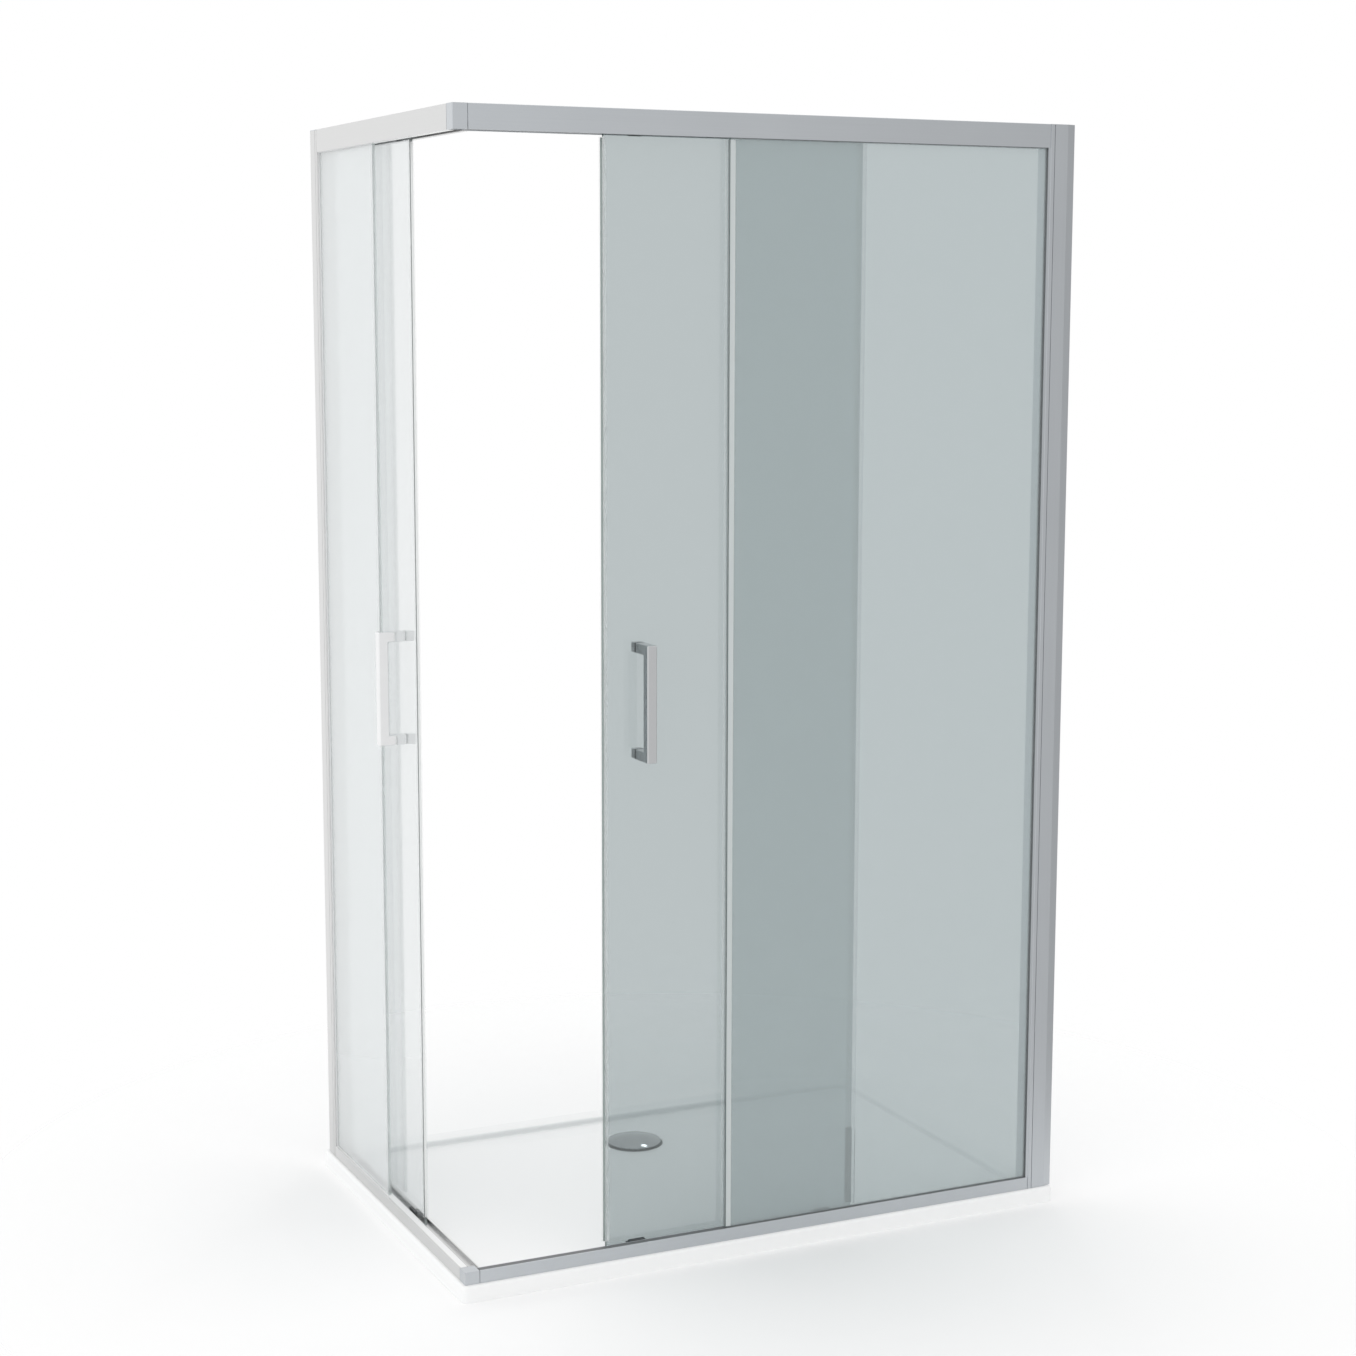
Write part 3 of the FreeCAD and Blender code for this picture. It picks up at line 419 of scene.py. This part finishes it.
class SealFinish(bpy.types.PropertyGroup):
    front_rubber: FloatVectorProperty(
        name="Front rubber", description="Colour of the front gaskets and stops",
        subtype="COLOR", min=0, max=1, default=(0.13, 0.135, 0.14))
    # The pale side rubber is a copy of the front rubber, lightened by painted light from the left
    side_rubber: FloatVectorProperty(
        name="Side rubber", description="Colour of the side gaskets and stops",
        subtype="COLOR", min=0, max=1, default=(0.86, 0.87, 0.87))
    clear_colour: FloatVectorProperty(
        name="Clear seals", description="Colour of the clear profiles",
        subtype="COLOR", min=0, max=1, default=(0.74, 0.77, 0.77))
    # On an edge strip's nose this dark colour is painted shade on the end face; on a trailing seal it makes
    # the part below the foot height darker. The side colour is a lighter copy by painted light from the left
    front_smoke: FloatVectorProperty(
        name="Front smoke", description="Colour of the smoky parts of the front seals",
        subtype="COLOR", min=0, max=1, default=(0.07, 0.09, 0.085))
    side_smoke: FloatVectorProperty(
        name="Side smoke", description="Colour of the smoky parts of the side seals",
        subtype="COLOR", min=0, max=1, default=(0.80, 0.84, 0.83))
    front_magnet: FloatVectorProperty(
        name="Front magnet", description="Colour of the front door's magnet strip",
        subtype="COLOR", min=0, max=1, default=(0.25, 0.30, 0.29))
    # The pale side magnet is a copy of the front magnet, lightened by painted light from the left
    side_magnet: FloatVectorProperty(
        name="Side magnet", description="Colour of the side door's magnet strip",
        subtype="COLOR", min=0, max=1, default=(0.84, 0.87, 0.86))
    lead_cover: FloatProperty(
        name="Leading cover", description="How much of a leading seal can be seen",
        subtype="FACTOR", min=0, max=1, default=0.06)
    # The side covers are lower than the front ones, so that painted light from the left fades the side seals
    strip_cover: FloatVectorProperty(
        name="Strip cover", description="How much of an edge strip's other walls shows, front and side",
        size=2, min=0, max=1, default=(0.08, 0.04))
    trail_cover: FloatProperty(
        name="Trailing cover", description="How much of a trailing seal can be seen",
        subtype="FACTOR", min=0, max=1, default=0.12)
    face_cover: FloatVectorProperty(
        name="Face cover", description="How much of an edge strip's face shows, on the front and the side",
        size=2, min=0, max=1, default=(0.5, 0.06))
    # The nose patch is painted shade on the end face of an edge strip
    nose_shade_cover: FloatVectorProperty(
        name="Nose cover", description="How much of an edge strip's nose shows, on the front and the side",
        size=2, min=0, max=1, default=(0.45, 0.03))
    foot_cover: FloatVectorProperty(
        name="Foot cover", description="How much of a trailing seal's foot shows, on the front and the side",
        size=2, min=0, max=1, default=(0.95, 0.3))
    # Depth of the painted shade on an edge strip's end face
    nose_shade_depth: FloatProperty(
        name="Nose depth", description="Depth of the smoky nose of an edge strip",
        unit="LENGTH", precision=5, default=0.009)
    # Below this height the patch colour makes a trailing seal darker
    foot_height: FloatProperty(
        name="Foot height", description="Height above the floor of a trailing seal's smoky foot",
        unit="LENGTH", default=0.20)
    cloud_density: FloatProperty(
        name="Cloud density", description="Cloudy patches per metre in clear seals", default=250.0)
    grain_density: FloatProperty(
        name="Grain density", description="Rubber grains per metre", default=2500.0)
    grain_depth: FloatProperty(
        name="Grain depth", description="Depth of the rubber's grain",
        unit="LENGTH", precision=6, default=0.00002)


class HandleFinish(bpy.types.PropertyGroup):
    # The front chrome is darkened by painted shade that stands for darker reflections; the side chrome is a
    # lighter copy by painted light from the left
    front_chrome: FloatVectorProperty(
        name="Front chrome", description="Colour of the front handle's plating",
        subtype="COLOR", min=0, max=1, default=(0.565, 0.575, 0.585))
    side_chrome: FloatVectorProperty(
        name="Side chrome", description="Colour of the side handle's plating",
        subtype="COLOR", min=0, max=1, default=(0.80, 0.805, 0.81))
    chrome_roughness: FloatProperty(
        name="Roughness", description="Mean roughness of the plating",
        subtype="FACTOR", min=0, max=1, default=0.09)
    mark_density: FloatProperty(
        name="Mark density", description="Wipe marks per metre", default=60.0)


class GearFinish(bpy.types.PropertyGroup):
    nylon_colour: FloatVectorProperty(
        name="Nylon", description="Colour of rollers and guide wheels",
        subtype="COLOR", min=0, max=1, default=(0.78, 0.78, 0.75))
    nylon_roughness: FloatProperty(
        name="Nylon roughness", description="Mean roughness of rollers and guide wheels",
        subtype="FACTOR", min=0, max=1, default=0.45)
    plastic_colour: FloatVectorProperty(
        name="Plastic", description="Colour of hangers, guide shoes and the drain's flange",
        subtype="COLOR", min=0, max=1, default=(0.09, 0.095, 0.10))
    plastic_roughness: FloatProperty(
        name="Plastic roughness", description="Mean roughness of hangers, guide shoes and the drain's flange",
        subtype="FACTOR", min=0, max=1, default=0.5)
    steel_colour: FloatVectorProperty(
        name="Steel", description="Colour of bolts, pins and screws",
        subtype="COLOR", min=0, max=1, default=(0.58, 0.585, 0.60))
    mould_grain: FloatProperty(
        name="Mould grain", description="Grains per metre", default=1600.0)
    mould_depth: FloatProperty(
        name="Mould depth", description="Depth of the moulded grain",
        unit="LENGTH", precision=6, default=0.00005)
    plate_density: FloatProperty(
        name="Plate density", description="Patches of plating per metre", default=140.0)


class TrayFinish(bpy.types.PropertyGroup):
    tray_colour: FloatVectorProperty(
        name="Tray", description="Colour of the gel coat",
        subtype="COLOR", min=0, max=1, default=(0.93, 0.935, 0.935))
    tray_roughness: FloatProperty(
        name="Roughness", description="Mean roughness of the gel coat",
        subtype="FACTOR", min=0, max=1, default=0.36)
    coat_weight: FloatProperty(
        name="Coat", description="Strength of the clear layer on the gel coat",
        subtype="FACTOR", min=0, max=1, default=0.15)
    coat_roughness: FloatProperty(
        name="Coat roughness", description="Roughness of the clear layer on the gel coat",
        subtype="FACTOR", min=0, max=1, default=0.2)
    skin_density: FloatProperty(
        name="Skin density", description="Duller patches per metre in the gel coat", default=6.0)
    # The drain cover's plating is darkened by painted shade that stands for the darker reflections of its
    # surroundings
    drain_shaded_colour: FloatVectorProperty(
        name="Drain", description="Colour of the drain cover's plating",
        subtype="COLOR", min=0, max=1, default=(0.36, 0.37, 0.38))


class ScrewSizes(bpy.types.PropertyGroup):
    recess_width: FloatProperty(
        name="Recess width", description="Width of each arm of the cross recess",
        unit="LENGTH", precision=5, default=0.0009)
    recess_length: FloatProperty(
        name="Recess length", description="Length of the cross recess from end to end",
        unit="LENGTH", precision=5, default=0.0034)
    recess_depth: FloatProperty(
        name="Recess depth", description="Depth of the cross recess",
        unit="LENGTH", precision=5, default=0.0012)
    shank_radius: FloatProperty(
        name="Shank radius", description="Radius of the screw's shank",
        unit="LENGTH", precision=5, default=0.002)
    head_height: FloatProperty(
        name="Head height", description="Height of the screw's head",
        unit="LENGTH", precision=5, default=0.0022)
    crown_radius: FloatProperty(
        name="Crown radius", description="Radius of the flat on the screw's head",
        unit="LENGTH", precision=5, default=0.0022)


class StageSetup(bpy.types.PropertyGroup):
    camera_place: FloatVectorProperty(
        name="Camera", description="Where the camera stands",
        subtype="XYZ", unit="LENGTH", default=(-2.0403, -4.3184, 1.7129))
    camera_yaw: FloatProperty(
        name="Yaw", description="Turn to the right of straight ahead",
        subtype="ANGLE", default=math.radians(25.202))
    camera_pitch: FloatProperty(
        name="Pitch", description="Tilt below level",
        subtype="ANGLE", default=math.radians(8.469))
    camera_roll: FloatProperty(
        name="Roll", description="Turn about the line of sight",
        subtype="ANGLE", default=math.radians(0.089))
    lens: FloatProperty(
        name="Lens", description="Focal length on a 36 mm wide sensor, in millimetres", default=67.162)
    floor_reach: FloatProperty(
        name="Floor", description="Distance at which the floor has run out",
        unit="LENGTH", default=1.7)
    floor_full: FloatProperty(
        name="Full floor", description="Distance at which the floor starts to fade",
        unit="LENGTH", default=0.72)
    floor_colour: FloatVectorProperty(
        name="Floor colour", description="Colour of the floor",
        subtype="COLOR", min=0, max=1, default=(0.97, 0.97, 0.97))
    back_level: FloatProperty(
        name="Back level", description="Brightness of the backdrop", default=1.0)
    horizon_level: FloatProperty(
        name="Horizon level", description="Brightness of the light from low behind", default=0.99)
    front_level: FloatProperty(
        name="Front level", description="Brightness in front before it is kept between right and left level",
        default=1.30)
    side_fall: FloatProperty(
        name="Side fall", description="Loss of brightness from the middle to the right", default=1.2)
    right_level: FloatProperty(
        name="Right level", description="Brightness to the right of the cabin", default=0.60)
    left_level: FloatProperty(
        name="Left level", description="Brightness to the left of the cabin", default=1.1)
    top_level: FloatProperty(
        name="Top level", description="Brightness overhead", default=1.10)
    lamp_place: FloatVectorProperty(
        name="Lamp", description="Where the lamp hangs, from the drain cover",
        subtype="XYZ", unit="LENGTH", default=(1.61, 2.28, 2.87))
    lamp_size: FloatProperty(
        name="Lamp size", description="Side of the square lamp",
        unit="LENGTH", default=0.25)
    lamp_power: FloatProperty(
        name="Lamp power", description="Power of the lamp",
        unit="POWER", default=2.5)


# Pieces made here
def solid_boxes(node):
    """Low and high corners of each separate solid of a CAD node."""
    welded = bmesh.new()
    welded.from_mesh(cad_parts[node].data)
    bmesh.ops.remove_doubles(welded, verts=welded.verts, dist=WELD_DISTANCE)
    waiting = set(welded.verts)
    boxes = []
    while waiting:
        group = [waiting.pop()]
        for vertex in group:
            for edge in vertex.link_edges:
                other = edge.other_vert(vertex)
                if other in waiting:
                    waiting.remove(other)
                    group.append(other)
        low = Vector([min(v.co[k] for v in group) for k in range(3)])
        high = Vector([max(v.co[k] for v in group) for k in range(3)])
        boxes.append((low, high))
    welded.free()
    return boxes


def screw_tree(name):
    """Geometry nodes that put a cross-recess screw at each point, turned to the point's own facing."""
    tree = bpy.data.node_groups.new(name, "GeometryNodeTree")
    interface = tree.interface
    interface.new_socket("Geometry", in_out="INPUT", socket_type="NodeSocketGeometry")
    for label in ("Head Radius", "Crown Radius", "Head Height", "Shank Radius", "Shank Length",
                  "Recess Width", "Recess Length", "Recess Depth"):
        interface.new_socket(label, in_out="INPUT", socket_type="NodeSocketFloat")
    interface.new_socket("Material", in_out="INPUT", socket_type="NodeSocketMaterial")
    interface.new_socket("Geometry", in_out="OUTPUT", socket_type="NodeSocketGeometry")
    build = Paint(tree)
    given = tree.nodes.new("NodeGroupInput")
    size = {socket.name: Flow(build, socket) for socket in given.outputs if socket.name}
    head = build.node("GeometryNodeMeshCone", {}, {"Vertices": HEAD_SIDES,
                                                   "Radius Top": size["Crown Radius"],
                                                   "Radius Bottom": size["Head Radius"],
                                                   "Depth": size["Head Height"]})
    shank = build.node("GeometryNodeMeshCylinder", {}, {"Vertices": SHANK_SIDES,
                                                        "Radius": size["Shank Radius"],
                                                        "Depth": size["Shank Length"] + size["Head Height"]})
    sink = build.node("ShaderNodeCombineXYZ", {}, {Z: (size["Head Height"] - size["Shank Length"]) * 0.5})
    shank = build.node("GeometryNodeTransform", {}, {"Geometry": shank, "Translation": sink})
    body = build.node("GeometryNodeMeshBoolean", {"operation": "UNION", "solver": "EXACT"}, {"Mesh 2": head})
    tree.links.new(shank.socket, body.socket.node.inputs["Mesh 2"])
    lift = build.node("ShaderNodeCombineXYZ", {}, {Z: size["Head Height"]})
    for first, second in (("Recess Length", "Recess Width"), ("Recess Width", "Recess Length")):
        extent = build.node("ShaderNodeCombineXYZ", {}, {X: size[first], Y: size[second],
                                                         Z: size["Recess Depth"] * 2})
        arm = build.node("GeometryNodeMeshCube", {}, {"Size": extent})
        arm = build.node("GeometryNodeTransform", {}, {"Geometry": arm, "Translation": lift})
        body = build.node("GeometryNodeMeshBoolean", {"operation": "DIFFERENCE", "solver": "EXACT"},
                          {"Mesh 1": body, "Mesh 2": arm})
    facing = build.node("GeometryNodeInputNamedAttribute", {"data_type": "FLOAT_VECTOR"},
                        {"Name": "facing"})
    turn = build.node("FunctionNodeAlignRotationToVector", {"axis": "Z"}, {"Vector": facing})
    placed = build.node("GeometryNodeInstanceOnPoints", {}, {"Points": size["Geometry"], "Instance": body,
                                                             "Rotation": turn})
    placed = build.node("GeometryNodeRealizeInstances", {}, {"Geometry": placed})
    placed = build.node("GeometryNodeSetMaterial", {}, {"Geometry": placed, "Material": size["Material"]})
    build.end("NodeGroupOutput", "Geometry", placed)
    return tree


def screw_axis(low, high):
    """The level axis along which the screw in a box runs."""
    extent = high - low
    return X if extent[X] > extent[Y] else Y


def screw_set(name, node, material, sizes):
    """One mesh of all the screws of a CAD node, which it then stands for."""
    boxes = solid_boxes(node)
    points = bpy.data.meshes.new(name + "_points")
    facings = []
    seats = []
    for low, high in boxes:
        axis = screw_axis(low, high)
        seat = (low + high) / 2
        seat[axis] = high[axis] - sizes.head_height
        seats.append(seat)
        facings.append(Vector([float(k == axis) for k in range(3)]))
    points.from_pydata(seats, [], [])
    attribute = points.attributes.new("facing", "FLOAT_VECTOR", "POINT")
    attribute.data.foreach_set("vector", [value for facing in facings for value in facing])
    low, high = boxes[0]
    spans = sorted(high - low)
    values = {
        "Head Radius": spans[0] / 2,
        "Crown Radius": sizes.crown_radius,
        "Head Height": sizes.head_height,
        "Shank Radius": sizes.shank_radius,
        "Shank Length": spans[2] - sizes.head_height,
        "Recess Width": sizes.recess_width,
        "Recess Length": sizes.recess_length,
        "Recess Depth": sizes.recess_depth,
        "Material": material,
    }
    return nodes_to_piece(name, points, screw_tree(name + "_nodes"), values)


def nodes_to_piece(name, mesh, tree, values):
    """Runs a node tree on a mesh and keeps its result as a plain mesh object."""
    carrier = bpy.data.objects.new(name + "_carrier", mesh)
    bpy.context.scene.collection.objects.link(carrier)
    modifier = carrier.modifiers.new(name, "NODES")
    modifier.node_group = tree
    for item in tree.interface.items_tree:
        if item.in_out == "INPUT" and item.name in values:
            modifier[item.identifier] = values[item.name]
    bpy.context.view_layer.update()
    shown = carrier.evaluated_get(bpy.context.evaluated_depsgraph_get())
    piece = bpy.data.objects.new(name, bpy.data.meshes.new_from_object(shown))
    bpy.data.objects.remove(carrier)
    bpy.context.scene.collection.objects.link(piece)
    return piece


# Stage
def lay_floor(scene, setup):
    """Pale floor that fades out at a distance, so that no edge shows."""
    reach = setup.floor_reach
    mesh = bpy.data.meshes.new("floor")
    corners = [(-reach, -reach, 0), (reach, -reach, 0), (reach, reach, 0), (-reach, reach, 0)]
    mesh.from_pydata(corners, [], [tuple(range(len(corners)))])
    material, paint = new_paint("pale floor")
    distance = paint.node("ShaderNodeVectorMath", {"operation": "LENGTH"}, {0: paint.place()}, "Value")
    ground = paint.principled(Base_Color=solid_colour(setup.floor_colour), Roughness=FLOOR_ROUGHNESS,
                              Specular_IOR_Level=0.0)
    clear = paint.node("ShaderNodeBsdfTransparent")
    fade = distance.ramp(setup.floor_full, reach)
    paint.surface(paint.node("ShaderNodeMixShader", {}, {0: fade, 1: ground, 2: clear}))
    mesh.materials.append(material)
    floor = bpy.data.objects.new("floor", mesh)
    scene.collection.objects.link(floor)


def light_world(scene, setup):
    """Soft light from all round, brighter to the left and overhead, darker to the front right."""
    world = bpy.data.worlds.new("studio")
    world.use_nodes = True
    scene.world = world
    paint = Paint(world.node_tree)
    direction = paint.node("ShaderNodeTexCoord", output="Generated")
    right, ahead, up = [paint.part(direction, axis) for axis in (X, Y, Z)]
    front = (setup.front_level - right * setup.side_fall).within(setup.right_level, setup.left_level)
    rise = setup.back_level - setup.horizon_level
    skyline = setup.horizon_level + rise * up.ramp(*SKYLINE_RISE)
    back = skyline + (setup.left_level - skyline) * (1.0 - right.ramp(*LEFT_TURN))
    level = front + (back - front) * ahead.ramp(*BACK_TURN)
    level = level + (setup.top_level - level) * up.ramp(*TOP_RISE)
    for ray in BACKDROP_RAYS:
        level = level + (setup.back_level - level) * paint.node("ShaderNodeLightPath", output=ray)
    white = solid_colour((1.0, 1.0, 1.0))
    backdrop = paint.node("ShaderNodeBackground", {}, {"Color": white, "Strength": level})
    paint.end("ShaderNodeOutputWorld", "Surface", backdrop)


def hang_lamp(scene, setup):
    """Small square lamp, turned to the drain, that puts a spark on its dome."""
    lamp = bpy.data.objects.new("lamp", bpy.data.lights.new("lamp", "AREA"))
    lamp.data.size = setup.lamp_size
    lamp.data.energy = setup.lamp_power
    low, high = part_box("drain_cover")
    aim = (Vector(low) + Vector(high)) / 2
    away = Vector(setup.lamp_place)
    turn = away.to_track_quat("Z", "Y").to_matrix().to_4x4()
    lamp.matrix_world = Matrix.Translation(aim + away) @ turn
    lamp.visible_camera = False
    scene.collection.objects.link(lamp)


def place_camera(scene, setup):
    """Camera at its place, with its yaw, pitch and roll."""
    camera = bpy.data.objects.new("camera", bpy.data.cameras.new("camera"))
    camera.data.sensor_width = SENSOR_WIDTH
    camera.data.lens = setup.lens
    turn = Matrix.Rotation(-setup.camera_yaw, 4, "Z")
    tilt = Matrix.Rotation(math.pi / 2 - setup.camera_pitch, 4, "X")
    roll = Matrix.Rotation(setup.camera_roll, 4, "Z")
    camera.matrix_world = Matrix.Translation(setup.camera_place) @ turn @ tilt @ roll
    scene.collection.objects.link(camera)
    scene.camera = camera


# Operators, one for each group of pieces and one for the stage
class CABIN_OT_dress_frame(bpy.types.Operator):
    """Give the rails, uprights, corner blocks and caps their satin aluminium"""

    bl_idname = "cabin.dress_frame"
    bl_label = "Dress frame"

    def execute(self, context):
        finish = context.scene.cabin_frame
        shared = {"front": ("top_corner_block", "bottom_corner_block", "wall_channel_caps"), "side": ()}
        for screen in SCREENS:
            # The side screen's metal is lighter than the front's by painted light from the left
            metal = getattr(finish, screen + "_metal")
            rails = satin_aluminium(screen + " rail aluminium", ALONG[screen], metal, finish)
            dress(rails, screen + "_top_rail", screen + "_bottom_rail", *shared[screen])
            uprights = satin_aluminium(screen + " upright aluminium", Z, metal, finish)
            dress(uprights, screen + "_wall_channel", screen + "_jamb_profile")
        return {"FINISHED"}


class CABIN_OT_dress_glass(bpy.types.Operator):
    """Give the fixed panes and the doors their glass"""

    bl_idname = "cabin.dress_glass"
    bl_label = "Dress glass"

    def execute(self, context):
        finish = context.scene.cabin_glass
        for screen in SCREENS:
            # On the side, the pale edge colour is painted light
            edge = getattr(finish, screen + "_edge")
            for pane, haze in (("fixed", finish.fixed_haze), ("door", finish.door_haze)):
                # A front pane's tint holds painted shade, a side pane's tint painted light
                tint = getattr(finish, f"{screen}_{pane}_tint")
                glass = toughened_glass(f"{screen} {pane} glass", THROUGH[screen], tint, edge, haze, finish)
                dress(glass, f"{screen}_{pane}_glass")
        return {"FINISHED"}


class CABIN_OT_dress_seals(bpy.types.Operator):
    """Give gaskets, fillers, stops, strips and door seals their rubber and plastic"""

    bl_idname = "cabin.dress_seals"
    bl_label = "Dress seals"

    def execute(self, context):
        finish = context.scene.cabin_seals
        plain = finish.clear_colour
        for index, screen in enumerate(SCREENS):
            along = ALONG[screen]
            through = THROUGH[screen]
            smoke = getattr(finish, screen + "_smoke")
            # The side screen's gaskets, fillers, stops and washers are lightened by painted light from the
            # left
            rubber = soft_rubber(screen + " gasket rubber", getattr(finish, screen + "_rubber"), finish)
            # The side magnet's pale colour is painted light
            magnet = soft_rubber(screen + " magnet rubber", getattr(finish, screen + "_magnet"), finish)
            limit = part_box(screen + "_edge_strip")[0][through] + finish.nose_shade_depth
            # The nose is painted shade on the strip's end face; the foot makes a trailing seal darker below
            # the foot height
            nose = (along, {through: limit}, smoke, finish.nose_shade_cover[index])
            face = (through, {}, plain, finish.face_cover[index])
            foot = (through, {Z: finish.foot_height}, smoke, finish.foot_cover[index])
            lead = clear_strip(screen + " leading seal", plain, finish.lead_cover, finish)
            walls = finish.strip_cover[index]
            strip = clear_strip(screen + " edge strip", plain, walls, finish, face, nose)
            trail = clear_strip(screen + " trailing seal", plain, finish.trail_cover, finish, foot)
            for piece in ("_glazing_gasket", "_groove_fillers", "_door_stop", "_handle_washers"):
                dress(rubber, screen + piece)
            dress(magnet, screen + "_lead_magnet")
            dress(lead, screen + "_lead_seal")
            dress(strip, screen + "_edge_strip")
            dress(trail, screen + "_trail_seal")
        return {"FINISHED"}


class CABIN_OT_dress_handles(bpy.types.Operator):
    """Give the bow handles and their inner caps a chrome finish"""

    bl_idname = "cabin.dress_handles"
    bl_label = "Dress handles"

    def execute(self, context):
        finish = context.scene.cabin_handles
        for screen in SCREENS:
            # The front plating holds painted shade, the side plating painted light
            colour = getattr(finish, screen + "_chrome")
            chrome = polished_chrome(screen + " handle chrome", colour, finish)
            dress(chrome, screen + "_handle", screen + "_handle_caps")
        return {"FINISHED"}


class CABIN_OT_dress_gear(bpy.types.Operator):
    """Give rollers, hangers, guides, bolts and pins their plastics and steel"""

    bl_idname = "cabin.dress_gear"
    bl_label = "Dress running gear"

    def execute(self, context):
        finish = context.scene.cabin_gear
        nylon = moulded_plastic("wheel nylon", finish.nylon_colour, finish.nylon_roughness, finish)
        plastic = moulded_plastic("grey plastic", finish.plastic_colour, finish.plastic_roughness, finish)
        steel = bright_steel("plated steel", finish)
        for screen in SCREENS:
            for piece in ("_lead_roller", "_trail_roller", "_lead_guide_wheel", "_trail_guide_wheel"):
                dress(nylon, screen + piece)
            for piece in ("_roller_hangers", "_guide_shoes"):
                dress(plastic, screen + piece)
            for piece in ("_roller_bolts", "_guide_pins", "_handle_screws"):
                dress(steel, screen + piece)
        return {"FINISHED"}


class CABIN_OT_dress_tray(bpy.types.Operator):
    """Give the tray its gel coat and the drain its chrome and plastic"""

    bl_idname = "cabin.dress_tray"
    bl_label = "Dress tray"

    def execute(self, context):
        finish = context.scene.cabin_tray
        gear = context.scene.cabin_gear
        coat = gel_coat("white gel coat", finish)
        plastic = moulded_plastic("drain plastic", gear.plastic_colour, gear.plastic_roughness, gear)
        # The drain chrome's dark colour is painted shade
        chrome = polished_chrome("drain chrome", finish.drain_shaded_colour, context.scene.cabin_handles)
        dress(coat, "tray")
        dress(plastic, "drain_flange")
        dress(chrome, "drain_cover")
        return {"FINISHED"}


class CABIN_OT_make_screws(bpy.types.Operator):
    """Put cross-recess screws in the uprights and in the corner joints"""

    bl_idname = "cabin.make_screws"
    bl_label = "Make screws"

    def execute(self, context):
        steel = bright_steel("screw steel", context.scene.cabin_gear)
        for name, node in (("jamb_screw_set", "jamb_screws"), ("corner_screw_set", "corner_screws")):
            piece = screw_set(name, node, steel, context.scene.cabin_screws)
            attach(piece, "frame")
            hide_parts(node)
        return {"FINISHED"}


class CABIN_OT_set_stage(bpy.types.Operator):
    """Set the floor, the lights and the camera"""

    bl_idname = "cabin.set_stage"
    bl_label = "Set stage"

    def execute(self, context):
        setup = context.scene.cabin_stage
        lay_floor(context.scene, setup)
        light_world(context.scene, setup)
        hang_lamp(context.scene, setup)
        place_camera(context.scene, setup)
        context.scene.view_settings.view_transform = "Standard"
        return {"FINISHED"}


# Each step, the scene property that holds its settings and their class, in the order in which they run
STEPS = (
    (CABIN_OT_dress_frame, "cabin_frame", FrameFinish),
    (CABIN_OT_dress_glass, "cabin_glass", GlassFinish),
    (CABIN_OT_dress_seals, "cabin_seals", SealFinish),
    (CABIN_OT_dress_handles, "cabin_handles", HandleFinish),
    (CABIN_OT_dress_gear, "cabin_gear", GearFinish),
    (CABIN_OT_dress_tray, "cabin_tray", TrayFinish),
    (CABIN_OT_make_screws, "cabin_screws", ScrewSizes),
    (CABIN_OT_set_stage, "cabin_stage", StageSetup),
)


class CABIN_PT_sidebar(bpy.types.Panel):
    """Lists the steps that dress the cabin, with their sizes and colours"""

    bl_idname = "CABIN_PT_sidebar"
    bl_label = "Shower cabin"
    bl_space_type = "VIEW_3D"
    bl_region_type = "UI"
    bl_category = "Cabin"

    def draw(self, context):
        for operator, name, settings in STEPS:
            column = self.layout.column(align=True)
            column.operator(operator.bl_idname)
            for setting in settings.__annotations__:
                column.prop(getattr(context.scene, name), setting)


def register():
    for operator, name, settings in STEPS:
        bpy.utils.register_class(settings)
        setattr(bpy.types.Scene, name, PointerProperty(type=settings))
        bpy.utils.register_class(operator)
    bpy.utils.register_class(CABIN_PT_sidebar)


def unregister():
    bpy.utils.unregister_class(CABIN_PT_sidebar)
    for operator, name, settings in reversed(STEPS):
        bpy.utils.unregister_class(operator)
        delattr(bpy.types.Scene, name)
        bpy.utils.unregister_class(settings)


def main():
    register()
    for operator, *_ in STEPS:
        category, name = operator.bl_idname.split(".")
        getattr(getattr(bpy.ops, category), name)()


if __name__ == "__main__":
    main()
